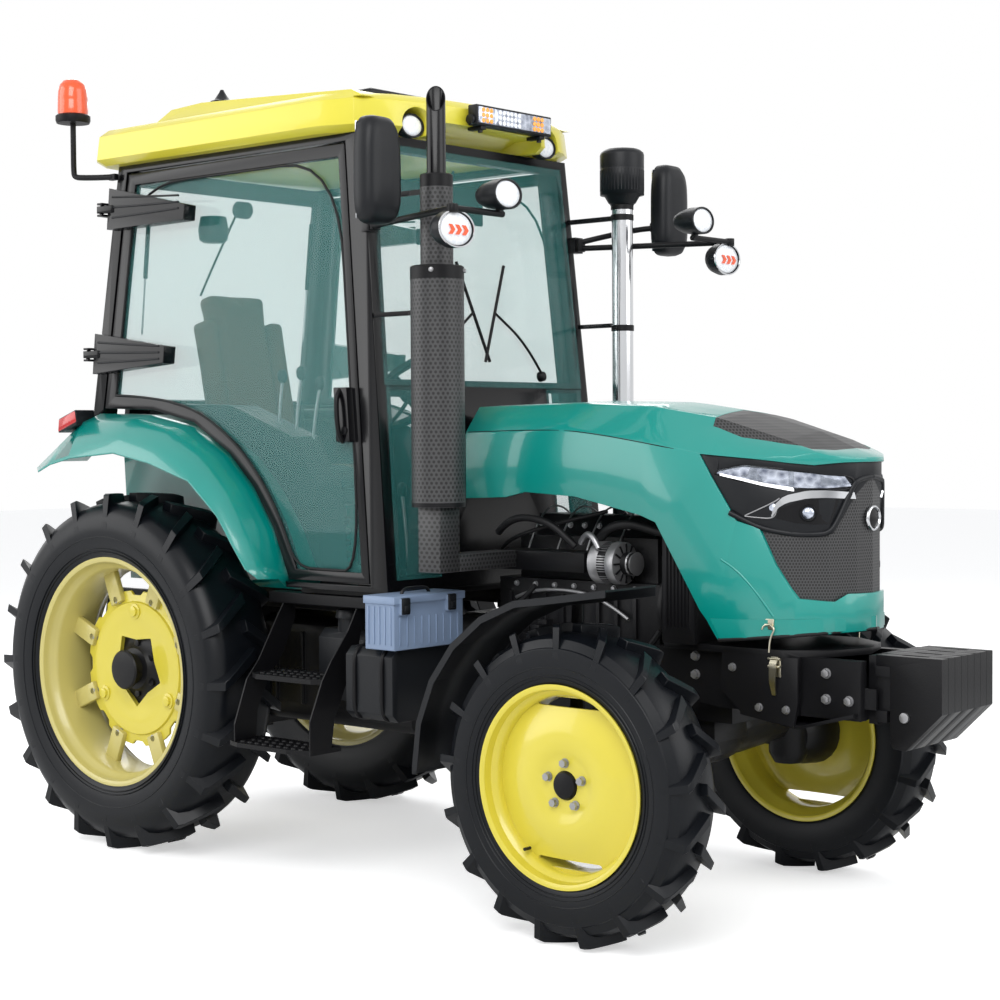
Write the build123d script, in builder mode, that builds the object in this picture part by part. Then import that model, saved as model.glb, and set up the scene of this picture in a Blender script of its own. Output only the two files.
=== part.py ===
# Compact four-wheel-drive farm tractor with a glazed cab, as an assembly of separate sub-parts.
# Millimetres, +X forward, +Y to the tractor's left, +Z up, origin under the middle of the length.
import os
from math import sin, cos, pi, radians, sqrt, hypot
from build123d import *

os.makedirs("parts", exist_ok=True)

# ---------------------------------------------------------------- driving dimensions
front_reach = 3214.0         # rear axle to the face of the front weights
rear_reach = 930.0           # rear axle to the lower link balls
rear_axle_x = (rear_reach - front_reach) / 2
wheelbase = 2240.0
front_axle_x = rear_axle_x + wheelbase
rear_tyre_r = 684.0
front_tyre_r = 500.0
rear_track = 1230.0
front_track = 1370.0
kingpin_y = front_track / 2 - 155
floor_z = 1045.0             # top of the cab floor
door_sill_z = 1063.0
cab_half_low = 606.0         # outer face of the door frame at the sill
cab_half_top = 560.0         # outer face of the door frame at the roof rail
roof_rail_z = 2632.0

X = rear_axle_x              # station of the rear axle, used as the zero of lengthwise positions


def cab_side_y(z):
    """Half width of the cab's side plane at height z."""
    t = (z - door_sill_z) / (roof_rail_z - door_sill_z)
    return cab_half_low + (cab_half_top - cab_half_low) * t


def save(builder, label):
    builder.part.label = label
    export_step(builder.part, f"parts/{label}.step")


def block(x0, x1, y0, y1, z0, z1, mode=Mode.ADD):
    """Box between opposite corners."""
    with Locations(((x0 + x1) / 2, (y0 + y1) / 2, (z0 + z1) / 2)):
        Box(abs(x1 - x0), abs(y1 - y0), abs(z1 - z0), mode=mode)


def rod_y(x, y0, y1, z, r, mode=Mode.ADD):
    """Cylinder across the tractor."""
    with Locations((x, (y0 + y1) / 2, z)):
        Cylinder(r, abs(y1 - y0), rotation=(90, 0, 0), mode=mode)


def rod_z(x, y, z0, z1, r, mode=Mode.ADD):
    """Upright cylinder."""
    with Locations((x, y, (z0 + z1) / 2)):
        Cylinder(r, abs(z1 - z0), mode=mode)


def rod_x(x0, x1, y, z, r, mode=Mode.ADD):
    """Cylinder along the tractor."""
    with Locations(((x0 + x1) / 2, y, z)):
        Cylinder(r, abs(x1 - x0), rotation=(0, 90, 0), mode=mode)


def counter_clockwise(pts):
    """The same outline, run counter-clockwise."""
    area = sum(a[0] * b[1] - b[0] * a[1] for a, b in zip(pts, pts[1:] + pts[:1]))
    return pts if area > 0 else pts[::-1]


def prism(plane, pts, amount, mode=Mode.ADD):
    """Straight-edged outline on a plane, extruded along the plane's normal."""
    with BuildSketch(plane) as outline:
        Polygon(*counter_clockwise(pts), align=None)
    extrude(outline.sketch, amount=amount, mode=mode)


def prism_y(pts, y0, y1, mode=Mode.ADD):
    """Outline (x from the rear axle, z) extruded across the tractor."""
    prism(Plane.XZ.offset(-y0), [(X + a, z) for a, z in pts], y0 - y1, mode)


def prism_x(pts, x0, x1, mode=Mode.ADD):
    """Outline (y, z) extruded along the tractor between two stations from the rear axle."""
    prism(Plane.YZ.offset(X + x0), pts, x1 - x0, mode)


def prism_z(pts, z0, z1, mode=Mode.ADD):
    """Outline (x from the rear axle, y) extruded upwards."""
    prism(Plane.XY.offset(z0), [(X + a, y) for a, y in pts], z1 - z0, mode)


def bar(p, q, r, sides=8):
    """Slim bar between two points, with a many-sided section."""
    start = Vector(*p)
    axis = Vector(*q) - start
    with BuildSketch(Plane(origin=start, z_dir=axis)) as section:
        RegularPolygon(r, sides)
    extrude(section.sketch, amount=axis.length)


def faceted(rings, mode=Mode.ADD):
    """Solid through rings of corners, closed by flat ends; neighbouring corners are joined by flat facets."""
    rings = [[Vector(*corner) for corner in ring] for ring in rings]
    faces = [Face(Wire.make_polygon(rings[0])), Face(Wire.make_polygon(rings[-1]))]
    for a, b in zip(rings, rings[1:]):
        for i, j in zip(range(len(a)), [*range(1, len(a)), 0]):
            normal = (a[j] - a[i]).cross(b[j] - a[i]).normalized()
            if abs(normal.dot(b[i] - a[i])) < 1e-4:
                faces.append(Face(Wire.make_polygon([a[i], a[j], b[j], b[i]])))
            else:
                faces.append(Face(Wire.make_polygon([a[i], a[j], b[j]])))
                faces.append(Face(Wire.make_polygon([a[i], b[j], b[i]])))
    add(Solid(Shell(faces)), mode=mode)


def ring_corners(sides, r):
    """Corners of a regular polygon whose flats lie at radius r, with a flat to the top."""
    corner_r = r / cos(pi / sides)
    turns = [(k + 0.5) * 2 * pi / sides for k in range(sides)]
    return [(corner_r * sin(t), corner_r * cos(t)) for t in turns]


def ring_about(u, v, r, sides):
    """Corners of a many-sided ring round a point."""
    return [(u + a, v + b) for a, b in ring_corners(sides, r)]


def polygon_loft(x, z, sides, stations, mode=Mode.ADD):
    """Many-sided body across the tractor through stations of (y, flat-to-centre radius)."""
    faceted([[(x + u, y, z + v) for u, v in ring_corners(sides, r)] for y, r in stations], mode)


def upright_loft(x, y, sides, stations, mode=Mode.ADD):
    """Many-sided upright body through stations of (z, flat-to-centre radius)."""
    faceted([[(x + u, y + v, z) for u, v in ring_corners(sides, r)] for z, r in stations], mode)


# ---------------------------------------------------------------- wheels
# columns: name, axle x, side (+1 left), tyre radius, half track, tyre half width, rim flange radius,
#          rim half width, lugs on each side, lug height
WHEELS = [
    ("rear_right", X, -1, rear_tyre_r, rear_track / 2, 158.0, 440.0, 137.0, 18, 34.0),
    ("rear_left", X, 1, rear_tyre_r, rear_track / 2, 158.0, 440.0, 137.0, 18, 34.0),
    ("front_right", front_axle_x, -1, front_tyre_r, front_track / 2, 106.0, 317.0, 100.0, 16, 28.0),
    ("front_left", front_axle_x, 1, front_tyre_r, front_track / 2, 106.0, 317.0, 100.0, 16, 28.0),
]
rim_sides = 24
rear_disc_y = rear_track / 2 - 5         # outer face of the rear wheel disc
rear_hub_y = rear_disc_y - 25            # outer face of the rear axle flange
front_hub_y = front_track / 2 - 3        # outer face of the front hub flange
dish_y = front_hub_y + 42                # where the front dish meets its rim
dish_wall = 9.0
running_gap = 0.3

for name, ax, side, tyre_r, half, tyre_hw, rim_r, rim_hw, lugs, lug_h in WHEELS:
    cy = side * half
    cz = tyre_r
    crown = tyre_r - lug_h
    sides = 2 * lugs
    reach = 0.105 * tyre_r + 8           # how far a lug runs round the tyre each way
    lug_top = sqrt((tyre_r - 0.1) ** 2 - reach ** 2)
    widest = rim_r + 0.45 * (crown - rim_r)
    carcass = [(tyre_hw, widest), (tyre_hw - 24, crown - 16), (24 - tyre_hw, crown - 16), (-tyre_hw, widest)]
    with BuildPart() as tyre:
        polygon_loft(ax, cz, sides, [(cy + y, r) for y, r in carcass])
        polygon_loft(ax, cz, sides, [(cy + tyre_hw + 1, widest - 12), (cy + rim_hw - 12, rim_r - 10)], Mode.SUBTRACT)
        polygon_loft(ax, cz, sides, [(cy + 12 - rim_hw, rim_r - 10), (cy - tyre_hw - 1, widest - 12)], Mode.SUBTRACT)
        seat_r = rim_r + running_gap
        polygon_loft(ax, cz, rim_sides, [(cy + 200, seat_r), (cy - 200, seat_r)], Mode.SUBTRACT)
        for hand in (1, -1):
            planes = []
            for k in range(lugs):
                a = radians(360.0 * (k + (0.25 if hand > 0 else 0.75)) / lugs)
                planes.append(Plane(
                    origin=(ax + (crown - 50) * sin(a), cy, cz + (crown - 50) * cos(a)),
                    x_dir=(0, hand, 0), z_dir=(sin(a), 0, cos(a))))
            t = reach
            thick = 0.062 * tyre_r
            footprint = [(-9, -t), (tyre_hw, t - 1.2 * thick), (tyre_hw, t), (-9, -t + thick)]
            with BuildSketch(*planes):
                Polygon(*[(u, v * hand) for u, v in footprint][::hand], align=None)
            extrude(amount=lug_top - crown + 50)
    save(tyre, f"tyre_{name}")

    well = rim_r - 42
    with BuildPart() as dish:
        polygon_loft(ax, cz, rim_sides, sorted([(side * dish_y, well + 2), (side * (dish_y + 26), 150)], reverse=True))
        inner = [(side * (dish_y - dish_wall), well + 2), (side * (dish_y + 26 - dish_wall), 150)]
        polygon_loft(ax, cz, rim_sides, sorted(inner, reverse=True), Mode.SUBTRACT)
        for edge in (-1, 1):
            block(ax - 200, ax + 200, side * (dish_y - dish_wall), side * (dish_y + 11), cz + edge * 247, cz + edge * 290,
                  Mode.SUBTRACT)

    with BuildPart() as wheel:
        polygon_loft(ax, cz, rim_sides, [(cy + rim_hw, rim_r), (cy - rim_hw, rim_r)])
        polygon_loft(ax, cz, rim_sides, [(cy + rim_hw + 1, rim_r - 12), (cy + rim_hw - 34, well),
                                         (cy + 34 - rim_hw, well), (cy - rim_hw - 1, rim_r - 12)], Mode.SUBTRACT)
        if name.startswith("rear"):
            disc_edge = []
            for k in range(8):
                for turn, r in ((-16, 303), (16, 303), (19, 284), (26, 284)):
                    a = radians(45.0 * k + turn)
                    disc_edge.append((ax - X + r * sin(a), cz + r * cos(a)))
            star = []
            for k in range(12):
                a = radians(30.0 * k)
                r = 139 if k % 2 else 114
                star.append((ax - X + r * sin(a), cz + r * cos(a)))
            prism_y(disc_edge, side * (rear_disc_y - 10), side * rear_disc_y)
            prism_y(star, side * (rear_disc_y - 11), side * (rear_disc_y + 1), Mode.SUBTRACT)
            for k in range(8):
                with Locations(Location((ax + 346 * cos(radians(45.0 * k)), side * (rear_disc_y - 5), cz + 346 * sin(radians(45.0 * k))),
                                        (0, -45.0 * k, 0))):
                    Box(124, 26, 64)
            ends = sorted([side * (rear_hub_y + running_gap), side * (rear_disc_y - 10)], reverse=True)
            polygon_loft(ax, cz, 20, [(y, 172) for y in ends])
            ends = sorted([side * (rear_disc_y - 10), side * (rear_disc_y + 78)], reverse=True)
            rod_y(ax, ends[0], ends[1], cz, 76)
        else:
            add(dish.part)
            ends = sorted([side * (front_hub_y + running_gap), side * (dish_y + 18)], reverse=True)
            polygon_loft(ax, cz, 20, [(y, 95) for y in ends])
            ends = sorted([side * (dish_y + 18), side * (dish_y + 40)], reverse=True)
            rod_y(ax, ends[0], ends[1], cz, 42)
    save(wheel, f"wheel_{name}")

# ---------------------------------------------------------------- driveline and chassis
alternator_x, alternator_y, alternator_z = X + 2014, -205.0, 1150.0
with BuildPart() as engine:
    block(X + 1480, X + 2180, -165, 165, 640, 1080)
    block(X + 1540, X + 2140, -120, 120, 1080, 1230)
    prism_x([(-78, 1230), (-62, 1302), (52, 1302), (68, 1230)], 1580, 2100)
    prism_y([(1540, 640), (1590, 480), (2060, 480), (2110, 640)], -135, 135)
    prism_y([(2180, 1010), (2180, 760), (2196, 700), (2196, 1075)], -70, 70)
    for k in range(8):                                   # ribs of the block's skirts
        x = X + 1530 + 78 * k
        block(x, x + 14, -177, 177, 896, 1030)
    rod_x(alternator_x - 52, alternator_x + 52, alternator_y, alternator_z, 70)
    bar((alternator_x + 52, alternator_y, alternator_z), (alternator_x + 92, alternator_y, alternator_z), 38, 12)
    block(alternator_x - 30, alternator_x + 30, -205, -110, 1085, 1120)
    prism_x(ring_about(0, 1000, 178, 20), 2180, 2196)
    upright_loft(X + 1700, -225, 12, [(770, 46), (900, 46)])
    block(X + 1680, X + 1720, -200, -160, 900, 940)
    block(X + 1680, X + 1720, -240, -160, 900, 925)
    for k in range(4):                                   # exhaust runners and their log
        block(X + 1590 + 130 * k, X + 1650 + 130 * k, -165, -119, 1110, 1165)
    prism_x([(-215, 1112), (-215, 1178), (-165, 1185), (-155, 1110)], 1530, 1900)
    block(X + 1560, X + 2060, 119, 175, 1120, 1190)      # inlet manifold
    prism_y([(1620, 850), (1620, 960), (1840, 975), (1870, 940), (1870, 850)], 160, 232)
    bar((X + 1600, 190, 760), (X + 1840, 190, 760), 42, 12)
    block(X + 1640, X + 1700, 160, 190, 735, 785)
save(engine, "engine")

with BuildPart() as transmission:
    prism_x([(-170, 545), (-140, 520), (140, 520), (170, 545), (170, 870), (140, 900), (-140, 900), (-170, 870)],
            1060, 1480)
    prism_x([(-185, 500), (-150, 470), (150, 470), (185, 500), (185, 850), (150, 880), (-150, 880), (-185, 850)],
            260, 1060)
    block(X - 250, X + 260, -215, 215, 440, 930)
    for s in (-1, 1):
        trumpet = [(s * 215, 135), (s * (rear_hub_y - 155), 96), (s * (rear_hub_y - 85), 96)]
        polygon_loft(X, rear_tyre_r, 16, sorted(trumpet, reverse=True))
        ends = sorted([s * (rear_hub_y - 85), s * rear_hub_y], reverse=True)
        polygon_loft(X, rear_tyre_r, 24, [(y, 125) for y in ends])
        block(X + 1290, X + 1400, s * 160, s * 259.5, 680, 740)
        block(X + 960, X + 1060, s * 170, s * 259.5, 700, 760)
    block(X + 1300, X + 1480, -230, 230, 860, 930)
    for k in range(5):                                   # ribs of the gearcase
        block(X + 330 + 150 * k, X + 344 + 150 * k, -200, 200, 540, 820)
save(transmission, "transmission")

tray_z = 884.0
saddle_z = 636.0             # underside of the front support on the axle beam
with BuildPart() as front_support:
    for s in (-1, 1):
        prism_y([(1920, 760), (1920, tray_z), (2960, tray_z), (2960, 700), (2440, 700), (2300, 720)], s * 165, s * 200)
        prism_y([(2470, 770), (2480, tray_z), (2760, tray_z), (2760, 740), (2745, 668), (2560, 690)], s * 228, s * 240)
        block(X + 2480, X + 2500, s * 200, s * 228, 780, tray_z)
        block(X + 2728, X + 2748, s * 200, s * 228, 700, tray_z)
    prism_y([(2540, 690), (2540, 708), (2760, 672), (2950, 725), (2950, 713), (2752, 660)], -228, 228)
    block(X + 2220, X + 2960, -165, 165, 702, 740)
    prism_z([(2250, -240), (2700, -240), (2830, -150), (2880, 0), (2830, 150), (2700, 240), (2250, 240)],
            tray_z, tray_z + 21)
    block(X + 2220, X + 2440, -125, 125, saddle_z, 702)
    block(X + 2960, X + 2990, -150, 150, 690, 900)       # nose plate and weight carrier
    block(X + 2990, X + 3040, -164, 164, 840, 872)
    block(X + 2990, X + 3030, -164, 164, 700, 735)
    for s in (-1, 1):
        prism_y([(2990, 700), (2990, 872), (3040, 872), (3040, 760), (3020, 700)], s * 120, s * 150)
        block(X + 2860, X + 3000, s * 166, s * 176, 736, 800)
    rod_z(X + 3012, 0, 695, 740, 15.5, Mode.SUBTRACT)    # towing pin bore in the lower lip
save(front_support, "front_support")

with BuildPart() as radiator:
    block(X + 2285, X + 2385, -262, 262, tray_z + 21, 1400)
    block(X + 2275, X + 2400, -281, -262, tray_z + 21, 1430)
    block(X + 2275, X + 2400, 262, 281, tray_z + 21, 1430)
    block(X + 2275, X + 2400, -281, 281, 1400, 1430)
    prism_y([(2225, tray_z + 21), (2225, 1180), (2240, 1200), (2285, 1240), (2285, tray_z + 21)], -215, 215)
    rod_x(X + 2220, X + 2286, 0, 1000, 186, Mode.SUBTRACT)
    for k in range(7):                                   # upright ribs of the side tanks
        block(X + 2290 + 14 * k, X + 2296 + 14 * k, -286, 286, 960, 1380)
save(radiator, "radiator")

beam_z = front_tyre_r + 60
with BuildPart() as front_axle:
    polygon_loft(front_axle_x, beam_z, 12, [(kingpin_y - 90, 60), (190, 74), (120, 74)])
    polygon_loft(front_axle_x, beam_z, 12, [(-120, 74), (-190, 74), (90 - kingpin_y, 60)])
    polygon_loft(front_axle_x, 553, 16, [(125, 74), (75, 82), (-75, 82), (-125, 74)])
    block(front_axle_x - 110, front_axle_x + 110, -95, 95, 560, saddle_z)
    block(front_axle_x - 125, front_axle_x - 60, -60, 60, 520, 600)
    for s in (-1, 1):
        upright_loft(front_axle_x, s * kingpin_y, 16, [(655, 66), (700, 66), (722, 40)])
        yoke = [(-130, 600), (-105, 700), (0, 700), (0, 655), (-75, 655), (-90, 560), (-130, 540)]
        prism_x([(s * (kingpin_y + y), z) for y, z in yoke], wheelbase - 55, wheelbase + 55)
        rod_z(front_axle_x, s * kingpin_y, 648 + running_gap, 656, 40)
save(front_axle, "front_axle")

# ---------------------------------------------------------------- knuckles and front fenders
fender_r = front_tyre_r + 88
fender_in, fender_out = front_track / 2 - 131, front_track / 2 + 125


def fender_arc(r):
    """Fender line of a given radius: upright tail, arc over the tyre's rear, flat run forward."""
    pts = [(wheelbase - r, 480)]
    for k in range(7):
        a = radians(15.0 * k)
        pts.append((wheelbase - r * cos(a), front_tyre_r + r * sin(a)))
    return pts + [(wheelbase + 210, front_tyre_r + r + 30)]


for name, s in (("right", -1), ("left", 1)):
    with BuildPart() as knuckle:
        rod_z(front_axle_x, s * kingpin_y, 560, 648, 72)
        upright_loft(front_axle_x, s * kingpin_y, 16, [(405, 50), (440, 70), (560, 70)])
        ends = sorted([(s * kingpin_y, 78), (s * (kingpin_y + 60), 108), (s * front_hub_y, 118)], reverse=True)
        polygon_loft(front_axle_x, front_tyre_r, 20, ends)
        steering_arm = [(-200, -30), (-20, -60), (-20, 10), (-200, 0)]
        prism_z([(wheelbase + a, s * (kingpin_y + y)) for a, y in steering_arm], 470, 500)
        prism_y([(wheelbase - 580, 500), (wheelbase - 580, 560), (wheelbase - 40, 600), (wheelbase - 40, 540)],
                s * (fender_in - 8), s * fender_in)
        prism_y([(wheelbase - 135, 560), (wheelbase - 122, 1064), (wheelbase - 80, 1066), (wheelbase - 78, 540)],
                s * (fender_in - 8), s * fender_in)
    save(knuckle, f"knuckle_{name}")
    with BuildPart() as front_fender:
        sheet = fender_arc(fender_r) + fender_arc(fender_r - 6)[::-1]
        prism_y(sheet, s * fender_in, s * fender_out)
        lip = fender_arc(fender_r - 2) + fender_arc(fender_r - 34)[::-1]
        prism_y(lip, s * fender_in, s * (fender_in + 4))
        lip = fender_arc(fender_r - 2) + fender_arc(fender_r - 22)[::-1]
        prism_y(lip, s * fender_out, s * (fender_out - 4))
    save(front_fender, f"front_fender_{name}")

# ---------------------------------------------------------------- nose weights
weight_pitch = 41.0
with BuildPart() as front_weights:
    for k in range(8):
        y0 = (k - 4) * weight_pitch + 0.5
        prism_y([(3040, 640), (3052, 622), (3092, 618), (3214, 738), (3214, 905), (2992, 905), (2992, 873),
                 (3040, 873)], y0, y0 + weight_pitch - 1)
    block(X + 3070, X + 3110, -163, 163, 700, 740)
    for k in range(4):                                   # hand slots between pairs
        y = (k - 1.5) * 2 * weight_pitch
        block(X + 3060, X + 3150, y - 9, y + 9, 820, 906, Mode.SUBTRACT)
save(front_weights, "front_weights")

# ---------------------------------------------------------------- rear hitch
link_pin_x, link_pin_z = X - 290, 435.0
arm_shaft_x, arm_shaft_z = X - 300, 900.0
link_ball_bore = 14.5
top_link_bore = 12.9
drawbar_pin_r = 15.5
pto_r = 17.3
with BuildPart() as hitch_frame:
    prism_y([(-250, 960), (-250, 840), (-330, 840), (-350, 870), (-350, 930), (-330, 960)], -150, 150)
    for s in (-1, 1):
        rod_y(arm_shaft_x, s * 145, s * 284, arm_shaft_z, 30)
    for s in (-1, 1):
        prism_y([(-250, 400), (-250, 475), (-330, 475), (-350, 435), (-330, 400)], s * 215, s * 330)
        rod_y(link_pin_x, s * 330, s * 372, link_pin_z, 17)
        prism_y([(-250, 700), (-250, 800), (-390, 780), (-390, 735)], s * 26, s * 38)
    rod_y(X - 370, -50, 50, 757, top_link_bore, Mode.SUBTRACT)
    prism_z([(60, -40), (-600, -40), (-625, -22), (-625, 22), (-600, 40), (60, 40)], 392, 422)
    rod_z(X - 585, 0, 380, 440, drawbar_pin_r, Mode.SUBTRACT)
    block(X - 300, X - 240, -110, 110, 422, 440)
    block(X - 20, X + 60, -110, 110, 422, 440)
    prism_x([(-120, 520), (-120, 680), (-90, 700), (90, 700), (120, 680), (120, 520)], -262, -250)
    prism_x([(-110, 672), (-110, 684), (110, 684), (110, 672)], -400, -262)
    prism_x([(-115, 560), (-115, 684), (-105, 684), (-105, 560)], -400, -262)
    prism_x([(115, 560), (115, 684), (105, 684), (105, 560)], -400, -262)
    rod_x(X - 340, X - 262, 0, 600, pto_r)
    bar((X - 262, 0, 600), (X - 275, 0, 600), 52, 12)
save(hitch_frame, "hitch_frame")

with BuildPart() as lift_arms:
    for s in (-1, 1):
        prism_y([(-260, 870), (-260, 930), (-300, 952), (-545, 952), (-582, 940), (-582, 908), (-545, 896),
                 (-340, 862), (-290, 848)], s * 256, s * 282)
        rod_y(arm_shaft_x, s * 250, s * 300, arm_shaft_z, 30.5, Mode.SUBTRACT)
        rod_y(X - 560, s * 270, s * 316, 925, 12)
save(lift_arms, "lift_arms")

with BuildPart() as lift_rods:
    for s in (-1, 1):
        prism_y([(-545, 900), (-540, 925), (-545, 950), (-575, 950), (-580, 925), (-575, 900)], s * 290, s * 314)
        rod_y(X - 560, s * 280, s * 320, 925, 12.5, Mode.SUBTRACT)
        bar((X - 561, s * 302, 905), (X - 584, s * 316, 690), 15)
        bar((X - 582, s * 315, 710), (X - 589, s * 319, 545), 23, 6)
        prism_y([(-575, 550), (-566, 520), (-575, 490), (-605, 490), (-614, 520), (-605, 550)], s * 312, s * 328)
save(lift_rods, "lift_rods")

with BuildPart() as lower_links:
    for s in (-1, 1):
        prism_y([(-262, 435), (-272, 462), (-310, 466), (-560, 475), (-860, 505), (-905, 500), (-928, 470),
                 (-905, 440), (-860, 436), (-560, 420), (-310, 404), (-272, 408)], s * 334, s * 358)
        rod_y(link_pin_x, s * 330, s * 360, link_pin_z, 17.5, Mode.SUBTRACT)
        bar((X - 888, s * 324, 470), (X - 888, s * 368, 470), 30, 12)
        rod_y(X - 888, s * 320, s * 372, 470, link_ball_bore, Mode.SUBTRACT)
save(lower_links, "lower_links")

# ---------------------------------------------------------------- cab
# the door's lower edge, the fender crown's edge and the fender's outer lip, as x from the rear axle and z
FENDER = [
    (-530, 1490, -536, 1460, -408, 1450),
    (-380, 1590, -383, 1552, -330, 1480),
    (-215, 1675, -235, 1640, -200, 1506),
    (81, 1666, 60, 1634, 68, 1526),
    (316, 1618, 262, 1594, 275, 1489),
    (512, 1507, 465, 1514, 502, 1424),
    (648, 1382, 620, 1392, 660, 1300),
    (754, 1240, 725, 1248, 745, 1193),
    (826, 1092, 812, 1118, 812, 1112),
    (842, 1045, 888, 1076, 880, 1080),
]
FENDER_Y = (440.0, 606.0, 682.0, 770.0)
arch = [(row[0], row[1]) for row in FENDER]


def arch_keepout(grow, s, y0, y1):
    """Everything under the rear fender's crown line, raised by grow."""
    pts = [(-700, 900), (-700, 1500 + grow)]
    pts += [(a + 0.7 * grow * (i > 4), z + grow) for i, (a, z) in enumerate(arch)]
    pts += [(842 + 0.7 * grow, 900)]
    prism_y(pts, s * y0, s * y1, Mode.SUBTRACT)


def side_plane(s):
    """Plane of the cab's side, local x along the tractor, local y up; its normal points out of the cab."""
    lean = (cab_half_low - cab_half_top) / (roof_rail_z - door_sill_z)
    return Plane(origin=(0, s * cab_half_low, door_sill_z), x_dir=(-s, 0, 0), z_dir=Vector(0, s, lean))


def on_side(s, pts):
    """Points (x from the rear axle, z) turned into local coordinates of the side plane."""
    k = hypot(1, (cab_half_low - cab_half_top) / (roof_rail_z - door_sill_z))
    return [(-s * (X + a), (z - door_sill_z) * k) for a, z in pts]


front_low, front_top = (1352.0, 1040.0), (1200.0, 2640.0)        # outer face of the front frame
rear_low, rear_top = (-290.0, 1640.0), (-140.0, 2640.0)          # outer face of the rear frame


def end_plane(low, top, facing):
    """Leaning plane across the cab, local x to the side, local y up; its normal points out of the cab."""
    run = Vector(top[0] - low[0], 0, top[1] - low[1]).normalized()
    out = Vector(run.Z * facing, 0, -run.X * facing)
    return Plane(origin=(X + low[0], 0, low[1]), x_dir=(0, facing, 0), z_dir=out)


def on_end(low, top, pts):
    """Points (y, z) turned into local coordinates of a leaning end plane."""
    k = hypot(top[0] - low[0], top[1] - low[1]) / (top[1] - low[1])
    return [(y, (z - low[1]) * k) for y, z in pts]


def mirrored(pts):
    """Outline given on the left half, closed by its mirror image on the right."""
    return pts + [(-y, z) for y, z in reversed(pts)]


door_outline = [(-212, 1695), (81, 1686), (322, 1636), (524, 1522), (664, 1396), (770, 1252), (842, 1102),
                (858, 1068), (1262, 1068), (1112, 2606), (-78, 2606)]
door_glass_line = [(-150, 1742), (100, 1730), (352, 1676), (566, 1552), (706, 1418), (812, 1270), (884, 1128),
                   (892, 1106), (1222, 1106), (1084, 2560), (-38, 2560)]
mirror_foot_y = cab_side_y(2315)
hinge_foot, hinge_rise = (-212.0, 665.0, 1905.0), (0.1385, -0.0266, 0.99)   # a point of the pins' line, its run
HINGES = [(1905.0, (-192, 1826), (-180, 1984), (243, 1922), (236, 1858)),   # pin height, then the cover's corners
          (2464.0, (-112, 2384), (-100, 2544), (352, 2446), (346, 2390))]


def hinge_at(z):
    """Point of the left door's hinge line at height z, as x from the rear axle and y."""
    t = (z - hinge_foot[2]) / hinge_rise[2]
    return hinge_foot[0] + t * hinge_rise[0], hinge_foot[1] + t * hinge_rise[1]


windshield_inset, quarter_inset, rear_window_inset = 62.0, 69.0, 75.0     # from the cab's side to the openings
pane_lap = 20.0                                                          # cover of a pane on its frame
stay_y, low_stay_y = 548.0, 572.0


def side_line(inset, *heights):
    """Points (y, z) that keep an inset from the cab's side plane at the given heights."""
    return [(cab_side_y(z) - inset, z) for z in heights]


windshield_line = side_line(windshield_inset, 1778, 2585)
quarter_line = [(348, 1096), (348, 1740)] + side_line(quarter_inset, 1740, 1096)
rear_window_line = side_line(rear_window_inset, 1735, 2570)
roof_line_z = 2640.0

with BuildPart() as cab_frame:
    for s in (-1, 1):
        side_ring = [(-290, 1640), (-266, 1800), (-140, 2640), (1200, 2640), (1352, 1040), (700, 1040)]
        prism(side_plane(s), on_side(s, side_ring), -70)
        hole = [(-236, 1600), (-90, 2614), (1120, 2614), (1270, 1060), (700, 1060), (500, 1400)]
        prism(side_plane(s).offset(1), on_side(s, hole), -72, Mode.SUBTRACT)
        arch_keepout(3, s, 440, 700)
    front = end_plane(front_low, front_top, 1)
    prism(front, on_end(front_low, front_top, mirrored(side_line(9, 1042, 2639))), -30)
    prism(front.offset(1), on_end(front_low, front_top, mirrored(windshield_line)), -32, Mode.SUBTRACT)
    for s in (-1, 1):
        quarter = [(s * y, z) for y, z in quarter_line]
        prism(front.offset(1), on_end(front_low, front_top, quarter), -32, Mode.SUBTRACT)
    rear = end_plane(rear_low, rear_top, -1)
    prism(rear, on_end(rear_low, rear_top, mirrored([(434, 1642), (434, 1700)] + side_line(25, 1720, 2639))), -30)
    prism(rear.offset(1), on_end(rear_low, rear_top, mirrored(rear_window_line)), -32, Mode.SUBTRACT)
    for s in (-1, 1):
        for pin_z, *cover in HINGES:                     # ears and pins of the door hinges
            hx, hy = hinge_at(pin_z)
            wall = cab_side_y(pin_z) - 4
            for dz in (-26, 18):
                prism_z([(hx - 34, s * wall), (hx - 15, s * (hy + 12)), (hx + 13, s * (hy + 12)),
                         (hx + 13, s * wall)], pin_z + dz, pin_z + dz + 8)
            start = Vector(X + hx - 22 * hinge_rise[0], s * (hy - 22 * hinge_rise[1]), pin_z - 22 * hinge_rise[2])
            with Locations(Plane(origin=start, z_dir=(hinge_rise[0], s * hinge_rise[1], hinge_rise[2]))):
                Cylinder(8, 44, align=(Align.CENTER, Align.CENTER, Align.MIN))
        prism_y([(1280, 1598), (1280, 1626), (1440, 1632), (1450, 1652), (1476, 1652), (1476, 1598)],
                s * 40, s * 50)                                        # ears of the hood hinge
        block(X + 1215, X + 1425, s * stay_y, s * (stay_y + 12), 2396, 2414)       # stays of the stack and the air tube
        block(X + 1215, X + 1230, s * (cab_side_y(2405) - 14), s * stay_y, 2396, 2414)
        block(X + 1255, X + 1425, s * (low_stay_y - 12), s * low_stay_y, 1990, 2006)
        block(X + 1255, X + 1272, s * (cab_side_y(1998) - 12), s * low_stay_y, 1990, 2006)
        block(X + 1225, X + 1262, s * (mirror_foot_y - 24), s * (mirror_foot_y + 23), 2285, 2345)
        rod_y(X + 1462, s * 45, s * 76, 1640, 8)
save(cab_frame, "cab_frame")

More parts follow.
